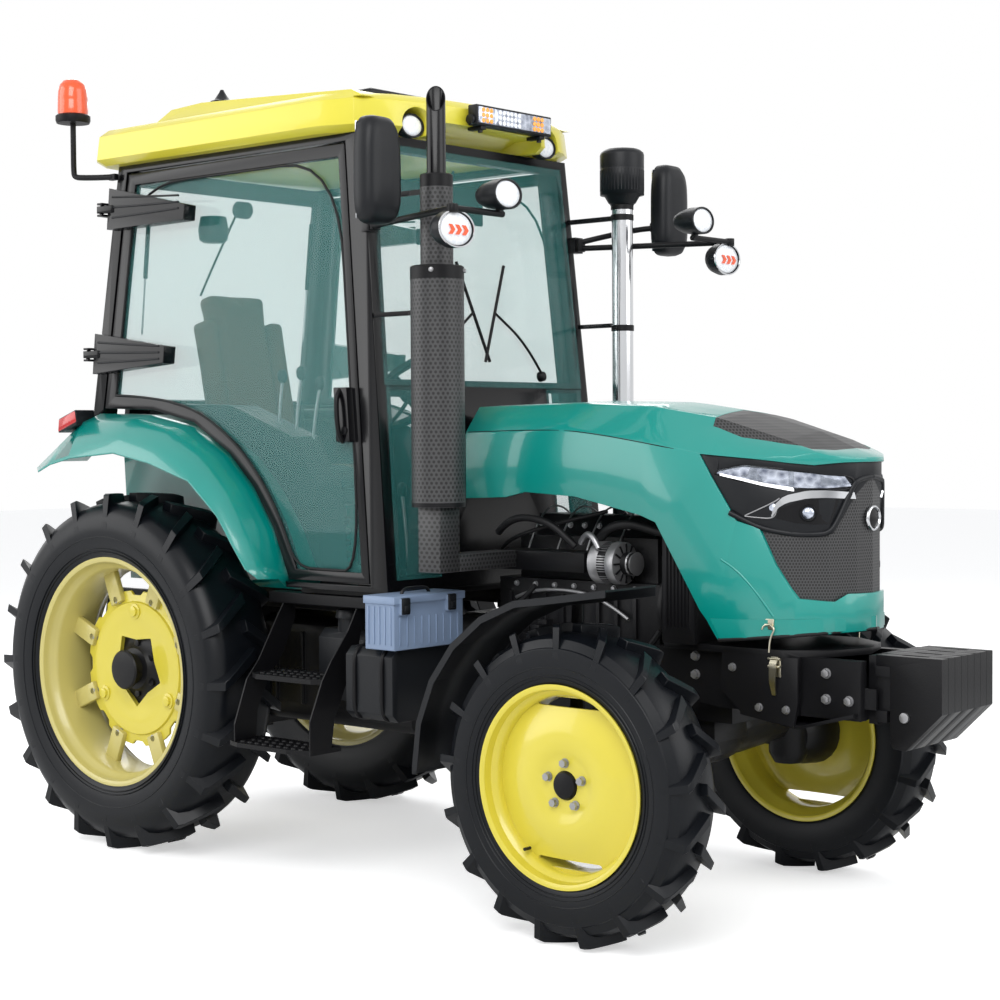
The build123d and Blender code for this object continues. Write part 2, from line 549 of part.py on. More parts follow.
wall_z = 1015.0
with BuildPart() as cab_floor:
    block(X - 250, X + 1318, -434, 434, wall_z, floor_z)
    block(X + 846, X + 1318, -535, 535, wall_z, 1039)
    prism_y([(-250, wall_z), (-290, 1641), (-264, 1637), (-224, wall_z)], -434, 434)
    for s in (-1, 1):
        block(X + 700, X + 1318, s * 500, s * 560, 975, wall_z)        # sill beams
        prism_x([(s * 300, wall_z), (s * 300, 930), (s * 330, 930), (s * 330, wall_z)], 200, 1290)
        block(X + 1190, X + 1280, s * 150, s * 330, 930, 960)          # mounts on the gearcase
        block(X + 1300, X + 1318, s * 434, s * 560, 975, 1034)
save(cab_floor, "cab_floor")


def fender_strip(i, thick):
    """Closed outline of the fender sheet at station i, thickened towards the axle."""
    line = [(row[2 * i], row[2 * i + 1]) for row in FENDER]
    inner = []
    for a, z in line:
        d = hypot(a, z - 800)
        inner.append((a * (1 - thick / d), 800 + (z - 800) * (1 - thick / d)))
    return line + inner[::-1]


with BuildPart() as rear_fenders:
    for s in (-1, 1):
        faceted([[(X + a, s * y, z) for a, z in fender_strip(i, 7)] for y, i in zip(FENDER_Y, (0, 0, 1, 2))])
        web = [(-250, wall_z), (-290, 1620)] + [(a, z - 2) for a, z in arch[2:]] + [(842, wall_z)]
        prism_y(web, s * 434, s * 441)
save(rear_fenders, "rear_fenders")

roof_half = cab_half_top + 74
roof_plan = [(-262, 0), (-256, 500), (-236, roof_half - 42), (-182, roof_half), (1060, roof_half),
             (1190, roof_half - 46), (1262, 470), (1312, 300), (1334, 0)]


def roof_ring(z, inset):
    """Roof outline at height z, drawn in towards the middle."""
    half = [(a + inset * (1 if a < 0 else -1), max(y - inset, 0)) for a, y in roof_plan]
    with BuildSketch(Plane.XY.offset(z)) as ring:
        Polygon(*counter_clockwise([(X + a, y) for a, y in half] + [(X + a, -y) for a, y in half[-2:0:-1]]),
                align=None)
    return ring.sketch


lamp_pocket_y, lamp_pocket_z = 369.0, 2672.0
with BuildPart() as cab_roof:
    loft([roof_ring(roof_line_z, 26), roof_ring(2662, 0), roof_ring(2752, 8), roof_ring(2778, 34)], ruled=True)
    prism_y([(60, 2760), (85, 2782), (152, 2832), (321, 2841), (579, 2826), (900, 2806), (1150, 2789),
             (1215, 2760)], -(roof_half - 34), roof_half - 34)
    for s in (-1, 1):
        slope = [(6, 2700), (6, 2860), (-114, 2860), (-28, 2700)]
        prism_x([(s * (roof_half + y), z) for y, z in slope], 0, 1300, Mode.SUBTRACT)
    loft([roof_ring(roof_line_z, 26), roof_ring(2662, 0), roof_ring(2752, 8), roof_ring(2778, 34)], ruled=True)
    for s in (-1, 1):
        rod_x(X + 1190, X + 1345, s * lamp_pocket_y, lamp_pocket_z, 62, Mode.SUBTRACT)
    prism_y([(1100, 2640), (1100, 2655), (1180, 2690), (1345, 2690), (1345, 2640)], -280, 280, Mode.SUBTRACT)
save(cab_roof, "cab_roof")

with BuildPart() as cab_glass:
    prism(front, on_end(front_low, front_top, mirrored(side_line(windshield_inset - pane_lap, 1756, 2606))), 6)
    for s in (-1, 1):
        pane = [(s * y, z) for y, z in [(332, 1082), (332, 1752)] + side_line(quarter_inset - pane_lap, 1752, 1082)]
        prism(front, on_end(front_low, front_top, pane), 6)
    prism(rear, on_end(rear_low, rear_top, mirrored(side_line(rear_window_inset - pane_lap, 1712, 2596))), 6)
save(cab_glass, "cab_glass")

wheel_hub = (X + 900, 0.0, 1738.0)
with BuildPart() as dashboard:
    prism_y([(1100, floor_z), (1128, 1480), (1090, 1560), (1150, 1640), (1250, 1650), (1282, 1100), (1282, floor_z)],
            -250, 250)
    bar((X + 1120, 0, 1520), (X + 893, 0, 1745), 30)
    with BuildSketch(Plane(origin=wheel_hub, x_dir=(0, 1, 0), z_dir=(-0.72, 0, 0.694))) as rim:
        RegularPolygon(190, 20)
        RegularPolygon(166, 20, mode=Mode.SUBTRACT)
        Rectangle(340, 30)
        RegularPolygon(45, 12)
    extrude(rim.sketch, amount=22)
    for s in (-1, 1):                                    # consoles along the wheelhouses
        prism_y([(-140, 1560), (-120, 1715), (360, 1700), (700, 1580), (820, 1400), (850, floor_z), (300, floor_z),
                 (300, 1300), (-100, 1300)], s * 300, s * 433.5)
save(dashboard, "dashboard")

with BuildPart() as seat:
    prism_y([(60, floor_z), (90, 1320), (400, 1320), (420, floor_z)], -170, 170)
    prism_y([(-20, 1320), (-40, 1400), (20, 1440), (430, 1475), (480, 1440), (480, 1380), (430, 1320)], -225, 225)
    prism_y([(10, 1400), (-130, 2060), (-150, 2130), (-60, 2150), (-30, 2080), (110, 1440)], -200, 200)
    for s in (-1, 1):
        prism_y([(30, 1640), (30, 1690), (330, 1700), (330, 1665)], s * 236, s * 280)
        prism_y([(-20, 1600), (-20, 1690), (60, 1690), (60, 1600)], s * 196, s * 240)
save(seat, "seat")

for name, s in (("right", -1), ("left", 1)):
    with BuildPart() as door:
        prism(side_plane(s), on_side(s, door_outline), -30)
        prism(side_plane(s).offset(1), on_side(s, door_glass_line), -32, Mode.SUBTRACT)
        for pin_z, *cover in HINGES:
            hx, hy = hinge_at(pin_z)
            prism(side_plane(s).offset(22), on_side(s, cover), 56)
            foot = [(hx + 50, pin_z - 40), (hx + 50, pin_z + 30), (hx + 96, pin_z + 30), (hx + 96, pin_z - 40)]
            prism(side_plane(s), on_side(s, foot), 24)
            prism_z([(hx - 16, s * (hy - 16)), (hx - 16, s * (hy + 14)), (hx + 60, s * (hy + 2)),
                     (hx + 60, s * (hy - 22))], pin_z - 14, pin_z + 14)
            with Locations(Plane(origin=(X + hx, s * hy, pin_z), z_dir=(hinge_rise[0], s * hinge_rise[1], hinge_rise[2]))):
                Cylinder(8.6, 80, mode=Mode.SUBTRACT)
        prism(side_plane(s), on_side(s, [(1120, 1560), (1102, 1750), (1166, 1750), (1186, 1560)]), 28)
    save(door, f"door_{name}")
    with BuildPart() as door_glass:
        prism(side_plane(s).offset(-10), on_side(s, door_glass_line), -6)
    save(door_glass, f"door_glass_{name}")

# ---------------------------------------------------------------- hood
# columns: station from the rear axle, half width, seam height, shoulder half width, shoulder height, crown height
HOOD = [
    (1440, 300, 1597, 225, 1680, 1690),
    (1875, 302, 1605, 225, 1686, 1698),
    (2200, 304, 1562, 222, 1672, 1688),
    (2460, 304, 1520, 210, 1630, 1652),
    (2700, 304, 1470, 195, 1560, 1588),
    (2930, 304, 1420, 180, 1470, 1490),
]
hood_low = [(1430, 1360), (1625, 1367), (1711, 1386), (1930, 1374), (2200, 1318), (2262, 1296), (2436, 1020),
            (2463, 990), (2505, 927), (2880, 962), (2960, 962), (2960, 700), (1400, 700)]
nose_plan = [(1430, 302), (2480, 302), (2620, 282), (2740, 238), (2830, 165), (2880, 80), (2895, 0)]
nose_opening = [(2436, 1518), (2620, 1503), (2793, 1482), (2857, 1490), (2960, 1492), (2960, 1075), (2862, 1081),
                (2838, 1057), (2752, 1068), (2690, 1172), (2642, 1287), (2567, 1308)]
grille_line = [(2642, 1287), (2742, 1270), (2829, 1269), (2871, 1392), (2884, 1441), (2960, 1441), (2960, 1075),
               (2862, 1081), (2838, 1057), (2752, 1068), (2690, 1172)]
headlamp_line = [(2502, 1467), (2598, 1484), (2795, 1456), (2868, 1423), (2742, 1409)]
mesh_plan = [(2405, 0), (2424, 150), (2442, 232), (2554, 234), (2700, 208), (2775, 180), (2815, 100), (2828, 0)]


def hood_body(shrink):
    """Hood volume: ruled loft through the stations, trimmed to the nose's plan."""
    sections = []
    for x, w, zs, w2, z2, zc in HOOD:
        a, b, c = w - shrink, w2 - 0.7 * shrink, shrink
        half = [(a, 800), (a, zs - 14 - 0.6 * c), (a - 6, zs - 0.5 * c), (b, z2 - c), (0.5 * b, 0.4 * z2 + 0.6 * zc - c)]
        with BuildSketch(Plane.YZ.offset(X + x)) as section:
            Polygon(*counter_clockwise(half + [(0, zc - c)] + [(-y, z) for y, z in reversed(half)]), align=None)
        sections.append(section.sketch)
    loft(sections, ruled=True)
    half = [(X + x - (shrink if x > 2500 else 0), max(y - shrink, 0)) for x, y in nose_plan]
    with BuildSketch(Plane.XY.offset(700)) as plan:
        Polygon(*counter_clockwise(half + [(x, -y) for x, y in reversed(half[:-1])]), align=None)
    extrude(plan.sketch, amount=1100, mode=Mode.INTERSECT)


hood_volume = {}
for shrink in (1, 5, 9, 14, 15):
    with BuildPart() as volume:
        hood_body(shrink)
    hood_volume[shrink] = volume.part

mesh_outline = mesh_plan + [(a, -y) for a, y in mesh_plan[-2:0:-1]]
with BuildPart() as mesh_pocket:
    prism_z(mesh_outline, 1450, 1750)
    add(hood_volume[5], mode=Mode.SUBTRACT)

with BuildPart() as hood_shell:
    hood_body(0)
    prism_y(hood_low, -500, 500, Mode.SUBTRACT)
    add(hood_volume[14], mode=Mode.SUBTRACT)
    prism_y(nose_opening, -500, 500, Mode.SUBTRACT)
    add(mesh_pocket.part, mode=Mode.SUBTRACT)
    for s in (-1, 1):
        prism_y([(1446, 1625), (1446, 1660), (1470, 1682), (1560, 1682), (1560, 1672), (1480, 1625)], s * 62, s * 72)
    rod_y(X + 1462, -90, 90, 1640, 8.5, Mode.SUBTRACT)
save(hood_shell, "hood_shell")

with BuildPart() as headlamps:
    prism_y(headlamp_line, -400, 400)
    add(hood_volume[1], mode=Mode.INTERSECT)
    add(hood_volume[9], mode=Mode.SUBTRACT)
save(headlamps, "headlamps")

with BuildPart() as nose_mask:
    prism_y(nose_opening, -400, 400)
    add(hood_volume[5], mode=Mode.INTERSECT)
    add(hood_volume[15], mode=Mode.SUBTRACT)
    prism_y(grille_line, -400, 400, Mode.SUBTRACT)
    add(headlamps.part, mode=Mode.SUBTRACT)
save(nose_mask, "nose_mask")

with BuildPart() as nose_grille:
    prism_y(grille_line, -400, 400)
    add(hood_volume[9], mode=Mode.INTERSECT)
    add(hood_volume[15], mode=Mode.SUBTRACT)
with BuildPart() as top_mesh:
    prism_z(mesh_outline, 1450, 1750)
    add(hood_volume[1], mode=Mode.INTERSECT)
    add(hood_volume[5], mode=Mode.SUBTRACT)
nose_grille_and_mesh = Compound(children=[*nose_grille.part.solids(), *top_mesh.part.solids()])
nose_grille_and_mesh.label = "nose_grille"
export_step(nose_grille_and_mesh, "parts/nose_grille.step")

# ---------------------------------------------------------------- side equipment
with BuildPart() as side_tanks:
    for s in (-1, 1):
        prism_x([(s * 260, 613), (s * 260, 862), (s * 672, 862), (s * 700, 834), (s * 700, 640), (s * 672, 613)],
                1240, 1460)
        prism_x([(s * 260, 640), (s * 260, 890), (s * 500, 890), (s * 530, 860), (s * 530, 640)], 930, 1190)
        block(X + 1180, X + 1250, s * 300, s * 420, 680, 780)
        upright_loft(X + 1030, s * 470, 12, [(880, 42), (930, 42)])
        upright_loft(X + 1030, s * 470, 12, [(930, 52), (960, 46)])
save(side_tanks, "side_tanks")

with BuildPart() as toolbox:
    block(X + 1358, X + 1495, -725, -380, 862, 1018)
    block(X + 1354, X + 1501, -731, -374, 1018, 1044)
    for y in (-680, -450):
        block(X + 1495, X + 1507, y - 22, y + 22, 980, 1036)
save(toolbox, "toolbox")

# columns: station, then the outline of a step's side plate as y (right side counts positive outwards) and z
STEP_PLATES = [
    (770, [(500, 975), (556, 975), (580, 940), (680, 780), (738, 715), (798, 560), (798, 482), (700, 482),
           (690, 600), (640, 700), (560, 800), (500, 920)]),
    (1146, [(500, 975), (556, 975), (600, 900), (684, 800), (728, 735), (788, 600), (788, 482), (690, 482),
            (670, 600), (620, 700), (560, 800), (536, 900), (500, 950)]),
]
with BuildPart() as steps:
    for s in (-1, 1):
        for x, outline in STEP_PLATES:
            prism_x([(s * y, z) for y, z in outline], x, x + 6)
        prism_z([(776, s * 560), (1146, s * 560), (1146, s * 700), (1100, s * 735), (830, s * 745), (776, s * 715)],
                720, 738)
        prism_z([(740, s * 640), (1152, s * 640), (1146, s * 775), (1050, s * 808), (800, s * 812), (740, s * 790)],
                482, 498)
save(steps, "steps")

stack_x, stack_y = X + 1550, -560.0
with BuildPart() as exhaust:
    rod_z(stack_x, stack_y, 1341, 2146, 91)
    rod_z(stack_x, stack_y, 2146, 2452, 55)
    rod_z(stack_x, stack_y, 2452, 2759, 32.5)
    block(stack_x - 50, stack_x + 50, stack_y - 50, stack_y + 50, 1120, 1341)
    block(stack_x - 50, stack_x + 50, stack_y + 50, -215, 1120, 1178)
    block(X + 1425, stack_x, stack_y - 12, stack_y, 1990, 2006)
    block(X + 1425, stack_x, stack_y, stack_y + 12, 2396, 2414)
    with BuildSketch(Plane.XZ.offset(700)):
        Polygon((stack_x - 60, 2700), (stack_x + 60, 2765), (stack_x + 60, 2800), (stack_x - 60, 2800), align=None)
    extrude(amount=-300, mode=Mode.SUBTRACT)
    rod_z(stack_x, stack_y, 2600, 2800, 29, Mode.SUBTRACT)
save(exhaust, "exhaust")

tube_x, tube_y = X + 1480, 560.0
with BuildPart() as air_intake:
    rod_z(tube_x, tube_y, 2490, 2640, 84)
    upright_loft(tube_x, tube_y, 24, [(2640, 80), (2663, 62)])
    upright_loft(tube_x, tube_y, 16, [(2452, 44), (2490, 62)])
    rod_z(tube_x, tube_y, 1190, 2452, 40)
    block(X + 1425, tube_x, tube_y - 12, tube_y, 2396, 2414)
    block(X + 1425, tube_x, tube_y, tube_y + 12, 1990, 2006)
    bar((tube_x, tube_y, 1190), (X + 1590, tube_y, 1190), 40, 12)
    bar((X + 1590, tube_y + 30, 1190), (X + 1590, 175, 1190), 38, 12)
save(air_intake, "air_intake")

with BuildPart() as mirrors:
    for s in (-1, 1):
        block(X + 1262, X + 1276, s * (mirror_foot_y - 19), s * (mirror_foot_y + 21), 2290, 2340)
        bar((X + 1270, s * (mirror_foot_y + 6), 2328), (X + 1505, s * 800, 2380), 10)
        bar((X + 1270, s * (mirror_foot_y + 6), 2304), (X + 1822, s * 780, 2304), 10)
        bar((X + 1822, s * 790, 2304), (X + 1822, s * 540, 2304), 10)
        prism_x([(s * 748, 2300), (s * 742, 2600), (s * 770, 2640), (s * 890, 2640), (s * 900, 2600),
                 (s * 892, 2290), (s * 860, 2271), (s * 770, 2276)], 1496, 1545)
save(mirrors, "mirrors")

tail_lamp = [(-350, 1600), (-345, 1655), (-240, 1690), (-230, 1640)]
with BuildPart() as lamps:
    for s in (-1, 1):
        rod_x(X + 1800, X + 1850, s * 552, 2366, 50)
        block(X + 1812, X + 1832, s * 542, s * 562, 2314, 2330)
        rod_x(X + 1770, X + 1813, s * 762, 2240, 60)
        block(X + 1782, X + 1800, s * 750, s * 774, 2285, 2295)
        rod_x(X + 1206, X + 1252, s * lamp_pocket_y, lamp_pocket_z, 44)
        bar((X + 1190, s * lamp_pocket_y, lamp_pocket_z), (X + 1206, s * lamp_pocket_y, lamp_pocket_z), 26, 12)
        prism_y(tail_lamp, s * 620, s * 712)
    prism_y([(1262, 2736), (1262, 2786), (1300, 2786), (1312, 2770), (1306, 2736)], -210, 95)
    add(rear_fenders.part, mode=Mode.SUBTRACT)
    add(cab_roof.part, mode=Mode.SUBTRACT)
    add(mirrors.part, mode=Mode.SUBTRACT)
save(lamps, "lamps")

with BuildPart() as beacon:
    upright_loft(X - 345, -623, 16, [(2826, 66), (2850, 70)])
    rod_z(X - 345, -623, 2850, 2975, 60)
    upright_loft(X - 345, -623, 16, [(2975, 58), (2998, 34)])
    bar((X - 345, -623, 2826), (X - 345, -623, 2612), 11)
    bar((X - 345, -623, 2620), (X - 160, -572, 2600), 11)
    block(X - 178, X - 140, -583, -cab_side_y(2590) - running_gap, 2590, 2612)
save(beacon, "beacon")
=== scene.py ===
from math import copysign, cos, pi, radians, sin

import bpy
from mathutils import Matrix, Vector
from mathutils.bvhtree import BVHTree


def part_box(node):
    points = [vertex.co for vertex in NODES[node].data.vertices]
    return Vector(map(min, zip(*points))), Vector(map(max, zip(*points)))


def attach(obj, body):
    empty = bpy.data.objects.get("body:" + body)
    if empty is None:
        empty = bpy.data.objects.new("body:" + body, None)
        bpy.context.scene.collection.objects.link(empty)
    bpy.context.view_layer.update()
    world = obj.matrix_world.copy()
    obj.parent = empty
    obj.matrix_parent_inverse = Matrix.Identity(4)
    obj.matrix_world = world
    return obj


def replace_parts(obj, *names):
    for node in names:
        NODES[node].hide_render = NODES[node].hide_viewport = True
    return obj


bl_info = {
    "name": "Farm tractor dressing",
    "version": (1, 0, 0),
    "blender": (4, 5, 0),
    "location": "3D View > Sidebar > Tractor",
    "description": "Finishes and fittings of a compact cab tractor around its solid model",
    "category": "Object",
}

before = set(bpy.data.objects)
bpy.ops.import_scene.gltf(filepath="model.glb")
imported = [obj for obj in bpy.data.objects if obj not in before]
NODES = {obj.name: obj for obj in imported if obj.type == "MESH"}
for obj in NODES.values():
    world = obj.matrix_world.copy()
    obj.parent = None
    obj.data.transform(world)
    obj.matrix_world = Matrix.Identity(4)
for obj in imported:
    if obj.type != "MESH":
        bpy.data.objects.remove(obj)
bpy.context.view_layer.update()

# places worked out from the frame
rear_low, rear_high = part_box("tyre_rear_right")
front_low, front_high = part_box("tyre_front_right")
REAR_X = (rear_low.x + rear_high.x) / 2
FRONT_X = (front_low.x + front_high.x) / 2
REAR_Z = (rear_low.z + rear_high.z) / 2
FRONT_Z = (front_low.z + front_high.z) / 2
REAR_R = rear_high.z - REAR_Z
FRONT_R = front_high.z - FRONT_Z
SIDES = (("right", -1), ("left", 1))
STACK = (1550, -560)        # foot of the exhaust, in mm from the rear axle
LAMP_SPREAD = 1.42          # width of the arm and roof lamps against their height


def at(x, y, z):
    """Point from millimetres: x ahead of the rear axle, y to the left, z up."""
    return Vector((REAR_X + x / 1000, y / 1000, z / 1000))


# ---------------------------------------------------------------- modelling helpers
def deselect():
    if bpy.context.mode != "OBJECT":
        bpy.ops.object.mode_set(mode="OBJECT")
    bpy.ops.object.select_all(action="DESELECT")


def only(obj):
    deselect()
    obj.select_set(True)
    bpy.context.view_layer.objects.active = obj
    return obj


def settle(obj):
    """Puts an object's place, turn and scale into its mesh."""
    only(obj)
    bpy.ops.object.transform_apply(location=True, rotation=True, scale=True)
    return obj


def merged(objs):
    """Joins several objects into the first."""
    deselect()
    for obj in objs:
        obj.select_set(True)
    bpy.context.view_layer.objects.active = objs[0]
    if len(objs) > 1:
        bpy.ops.object.join()
    return settle(bpy.context.active_object)


def done(obj, name, body, material, angle=35):
    """Names a piece, gives it its finish and lets it ride on its body."""
    if isinstance(obj, list):
        obj = merged(obj)
    settle(obj)
    obj.name = name
    obj.data.name = name
    obj.data.materials.clear()
    obj.data.materials.append(FINISHES[material])
    bpy.ops.object.shade_smooth_by_angle(angle=radians(angle))
    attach(obj, body)
    return obj


def turn_to(direction):
    """Rotation that stands the local Z axis along a direction."""
    return Vector(direction).to_track_quat("Z", "Y").to_euler()


def soften(obj, width, segments=2):
    """Bevels all edges by the same width."""
    only(obj)
    bpy.ops.object.mode_set(mode="EDIT")
    bpy.ops.mesh.select_all(action="SELECT")
    bpy.ops.mesh.bevel(offset=width, offset_type="OFFSET", segments=segments, affect="EDGES")
    bpy.ops.object.mode_set(mode="OBJECT")
    return obj


def brick(low, high, edge=0.0):
    """Box between two corners, with softened edges."""
    low, high = Vector(low), Vector(high)
    deselect()
    bpy.ops.mesh.primitive_cube_add(size=1, location=(low + high) / 2)
    obj = bpy.context.active_object
    obj.scale = [abs(b - a) for a, b in zip(low, high)]
    settle(obj)
    return soften(obj, edge) if edge else obj


def drum(start, end, radius, sides=32, edge=0.0):
    """Cylinder between two points."""
    start, end = Vector(start), Vector(end)
    deselect()
    bpy.ops.mesh.primitive_cylinder_add(
        vertices=sides, radius=radius, depth=(end - start).length, location=(start + end) / 2,
        rotation=turn_to(end - start))
    obj = settle(bpy.context.active_object)
    if edge:
        only(obj)
        bpy.ops.object.mode_set(mode="EDIT")
        bpy.ops.mesh.select_all(action="DESELECT")
        bpy.ops.object.mode_set(mode="OBJECT")
        for face in obj.data.polygons:
            face.select = len(face.vertices) > 4
        bpy.ops.object.mode_set(mode="EDIT")
        bpy.ops.mesh.select_mode(type="FACE")
        bpy.ops.mesh.region_to_loop()
        bpy.ops.mesh.bevel(offset=edge, segments=2, affect="EDGES")
        bpy.ops.object.mode_set(mode="OBJECT")
    return obj


def turned(origin, direction, stations, sides=48, ring=False):
    """Turned body: (distance along the axis, radius) stations; a ring closes back on its first station."""
    deselect()
    first_along, first_r = stations[0]
    bpy.ops.mesh.primitive_circle_add(
        vertices=sides, radius=first_r, fill_type="NOTHING" if ring else "NGON", location=(0, 0, first_along))
    obj = bpy.context.active_object
    settle(obj)
    bpy.ops.object.mode_set(mode="EDIT")
    bpy.ops.mesh.select_all(action="SELECT")
    along, r = first_along, first_r
    path = list(stations[1:]) + ([stations[0]] if ring else [])
    for next_along, next_r in path:
        if ring:
            bpy.ops.mesh.extrude_edges_move(TRANSFORM_OT_translate={"value": (0, 0, next_along - along)})
        else:
            bpy.ops.mesh.extrude_region_move(TRANSFORM_OT_translate={"value": (0, 0, next_along - along)})
        grow = next_r / r
        bpy.ops.transform.resize(value=(grow, grow, 1), center_override=(0, 0, next_along))
        along, r = next_along, next_r
    bpy.ops.mesh.select_all(action="SELECT")
    bpy.ops.mesh.remove_doubles(threshold=0.00002)
    bpy.ops.mesh.normals_make_consistent(inside=False)
    bpy.ops.object.mode_set(mode="OBJECT")
    obj.rotation_euler = turn_to(direction)
    obj.location = origin
    return settle(obj)


def outline(points, direction, depth, edge=0.0):
    """Plate from corner points, given its depth along a direction."""
    deselect()
    bpy.ops.mesh.primitive_circle_add(vertices=len(points), radius=1, fill_type="NGON")
    obj = bpy.context.active_object
    for vertex, point in zip(obj.data.vertices, points):
        vertex.co = Vector(point)
    obj.data.update()
    bpy.ops.object.mode_set(mode="EDIT")
    bpy.ops.mesh.select_all(action="SELECT")
    bpy.ops.mesh.extrude_region_move(TRANSFORM_OT_translate={"value": tuple(Vector(direction).normalized() * depth)})
    bpy.ops.mesh.select_all(action="SELECT")
    bpy.ops.mesh.normals_make_consistent(inside=False)
    bpy.ops.object.mode_set(mode="OBJECT")
    return soften(obj, edge) if edge else obj


def tube(points, radius, sides=6):
    """Smooth bent tube along control points."""
    deselect()
    bpy.ops.curve.primitive_nurbs_path_add(radius=1, location=(0, 0, 0))
    obj = bpy.context.active_object
    spline = obj.data.splines[0]
    if len(points) > len(spline.points):
        spline.points.add(len(points) - len(spline.points))
    for k, held in enumerate(spline.points):
        point = points[min(k, len(points) - 1)]
        held.co = (*point, 1)
    spline.order_u = 3
    spline.use_endpoint_u = True
    spline.resolution_u = 6
    obj.data.bevel_depth = radius
    obj.data.bevel_resolution = max(1, sides // 3)
    obj.data.use_fill_caps = True
    only(obj)
    bpy.ops.object.convert(target="MESH")
    obj = bpy.context.active_object
    bpy.ops.object.mode_set(mode="EDIT")
    bpy.ops.mesh.select_all(action="SELECT")
    bpy.ops.mesh.remove_doubles(threshold=0.00005)
    bpy.ops.mesh.normals_make_consistent(inside=False)
    bpy.ops.object.mode_set(mode="OBJECT")
    return obj


def lofted(loops):
    """Closed skin over loops of as many points each, with flat ends."""
    count = len(loops[0])
    points = [p for loop in loops for p in loop]
    faces = [[k * count + i, k * count + (i + 1) % count, (k + 1) * count + (i + 1) % count, (k + 1) * count + i]
             for k in range(len(loops) - 1) for i in range(count)]
    faces += [list(range(count))[::-1], list(range(len(points) - count, len(points)))]
    mesh = bpy.data.meshes.new("lofted")
    mesh.from_pydata([tuple(p) for p in points], [], faces)
    mesh.update()
    obj = bpy.data.objects.new("lofted", mesh)
    bpy.context.scene.collection.objects.link(obj)
    only(obj)
    bpy.ops.object.mode_set(mode="EDIT")
    bpy.ops.mesh.select_all(action="SELECT")
    bpy.ops.mesh.normals_make_consistent(inside=False)
    bpy.ops.object.mode_set(mode="OBJECT")
    return obj


def widened(obj, centre, factor):
    """Stretches a piece crosswise about a point."""
    obj.data.transform(Matrix.Translation(centre) @ Matrix.Diagonal((1, factor, 1, 1)) @ Matrix.Translation(-centre))
    return obj


def copies(obj, moves):
    """The object and a copy of it, with its own mesh, for each further matrix."""
    out = [obj]
    for move in moves:
        only(obj)
        bpy.ops.object.duplicate(linked=False)
        twin = bpy.context.active_object
        twin.matrix_world = move @ twin.matrix_world
        out.append(twin)
    return out


def about_y(centre, degrees):
    """Turn about a crosswise line through a point."""
    centre = Vector(centre)
    return Matrix.Translation(centre) @ Matrix.Rotation(radians(degrees), 4, "Y") @ Matrix.Translation(-centre)


def recast(node, name, body, material, angle=35, edge=0.0, corner=40):
    """Smooth-shaded copy of a solid of the frame, with softened corners, that stands for it."""
    deselect()
    obj = bpy.data.objects.new(name, NODES[node].data.copy())
    bpy.context.scene.collection.objects.link(obj)
    only(obj)
    bpy.ops.object.mode_set(mode="EDIT")
    bpy.ops.mesh.select_all(action="SELECT")
    bpy.ops.mesh.remove_doubles(threshold=0.00003)
    bpy.ops.object.mode_set(mode="OBJECT")
    if edge:
        bevel = obj.modifiers.new("softened", "BEVEL")
        bevel.width = edge
        bevel.segments = 2
        bevel.limit_method = "ANGLE"
        bevel.angle_limit = radians(corner)
        bevel.miter_outer = "MITER_ARC"
        bpy.ops.object.modifier_apply(modifier="softened")
    done(obj, name, body, material, angle)
    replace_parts(obj, node)
    return obj


def bent_bar(length_cuts, place):
    """Bar cut along its length; place(across, along, up) in 0..1 gives each corner's point."""
    deselect()
    bpy.ops.mesh.primitive_grid_add(x_subdivisions=1, y_subdivisions=length_cuts, size=1)
    obj = bpy.context.active_object
    bpy.ops.object.mode_set(mode="EDIT")
    bpy.ops.mesh.select_all(action="SELECT")
    bpy.ops.mesh.extrude_region_move(TRANSFORM_OT_translate={"value": (0, 0, 1)})
    bpy.ops.mesh.select_all(action="SELECT")
    bpy.ops.mesh.normals_make_consistent(inside=False)
    bpy.ops.object.mode_set(mode="OBJECT")
    for vertex in obj.data.vertices:
        x, y, z = vertex.co
        vertex.co = place(x + 0.5, y + 0.5, z)
    obj.data.update()
    only(obj)
    bpy.ops.object.mode_set(mode="EDIT")
    bpy.ops.mesh.select_all(action="SELECT")
    bpy.ops.mesh.normals_make_consistent(inside=False)
    bpy.ops.object.mode_set(mode="OBJECT")
    return obj


def eased(table, t):
    """Value from (position, value) rows, straight between them."""
    for (a, va), (b, vb) in zip(table, table[1:]):
        if t <= b:
            return va + (vb - va) * max(0.0, (t - a) / (b - a))
    return table[-1][1]


TREES = {}


def cast(node, origin, direction):
    """Where a ray first meets a solid of the frame, and the surface's direction there."""
    if node not in TREES:
        mesh = NODES[node].data
        TREES[node] = BVHTree.FromPolygons([v.co for v in mesh.vertices], [p.vertices for p in mesh.polygons])
    place, normal, _, _ = TREES[node].ray_cast(Vector(origin), Vector(direction).normalized())
    return place, normal


def touch(node, origin, direction):
    """The same, for a solid that the ray is sure to meet."""
    place, normal = cast(node, origin, direction)
    if place is None:
        raise RuntimeError(f"nothing of {node} along that line")
    return place, normal


def on_skin(nodes, x, z, side, out=0.0):
    """Point of the outermost of some solids at a station and height, moved out along the surface's direction."""
    found = [cast(node, at(x, side * 950, z), (0, -side, 0)) for node in nodes]
    found = [hit for hit in found if hit[0] is not None]
    if not found:
        raise RuntimeError(f"no surface at {x}, {z}")
    place, normal = max(found, key=lambda hit: abs(hit[0].y))
    return place + normal * out / 1000


NOSE = ("hood_shell", "nose_mask", "nose_grille", "headlamps")


def nose(line, side, out=0.0):
    """Points on the nose's skin from (station, height) pairs."""
    return [on_skin(NOSE, x, z, side, out) for x, z in line]


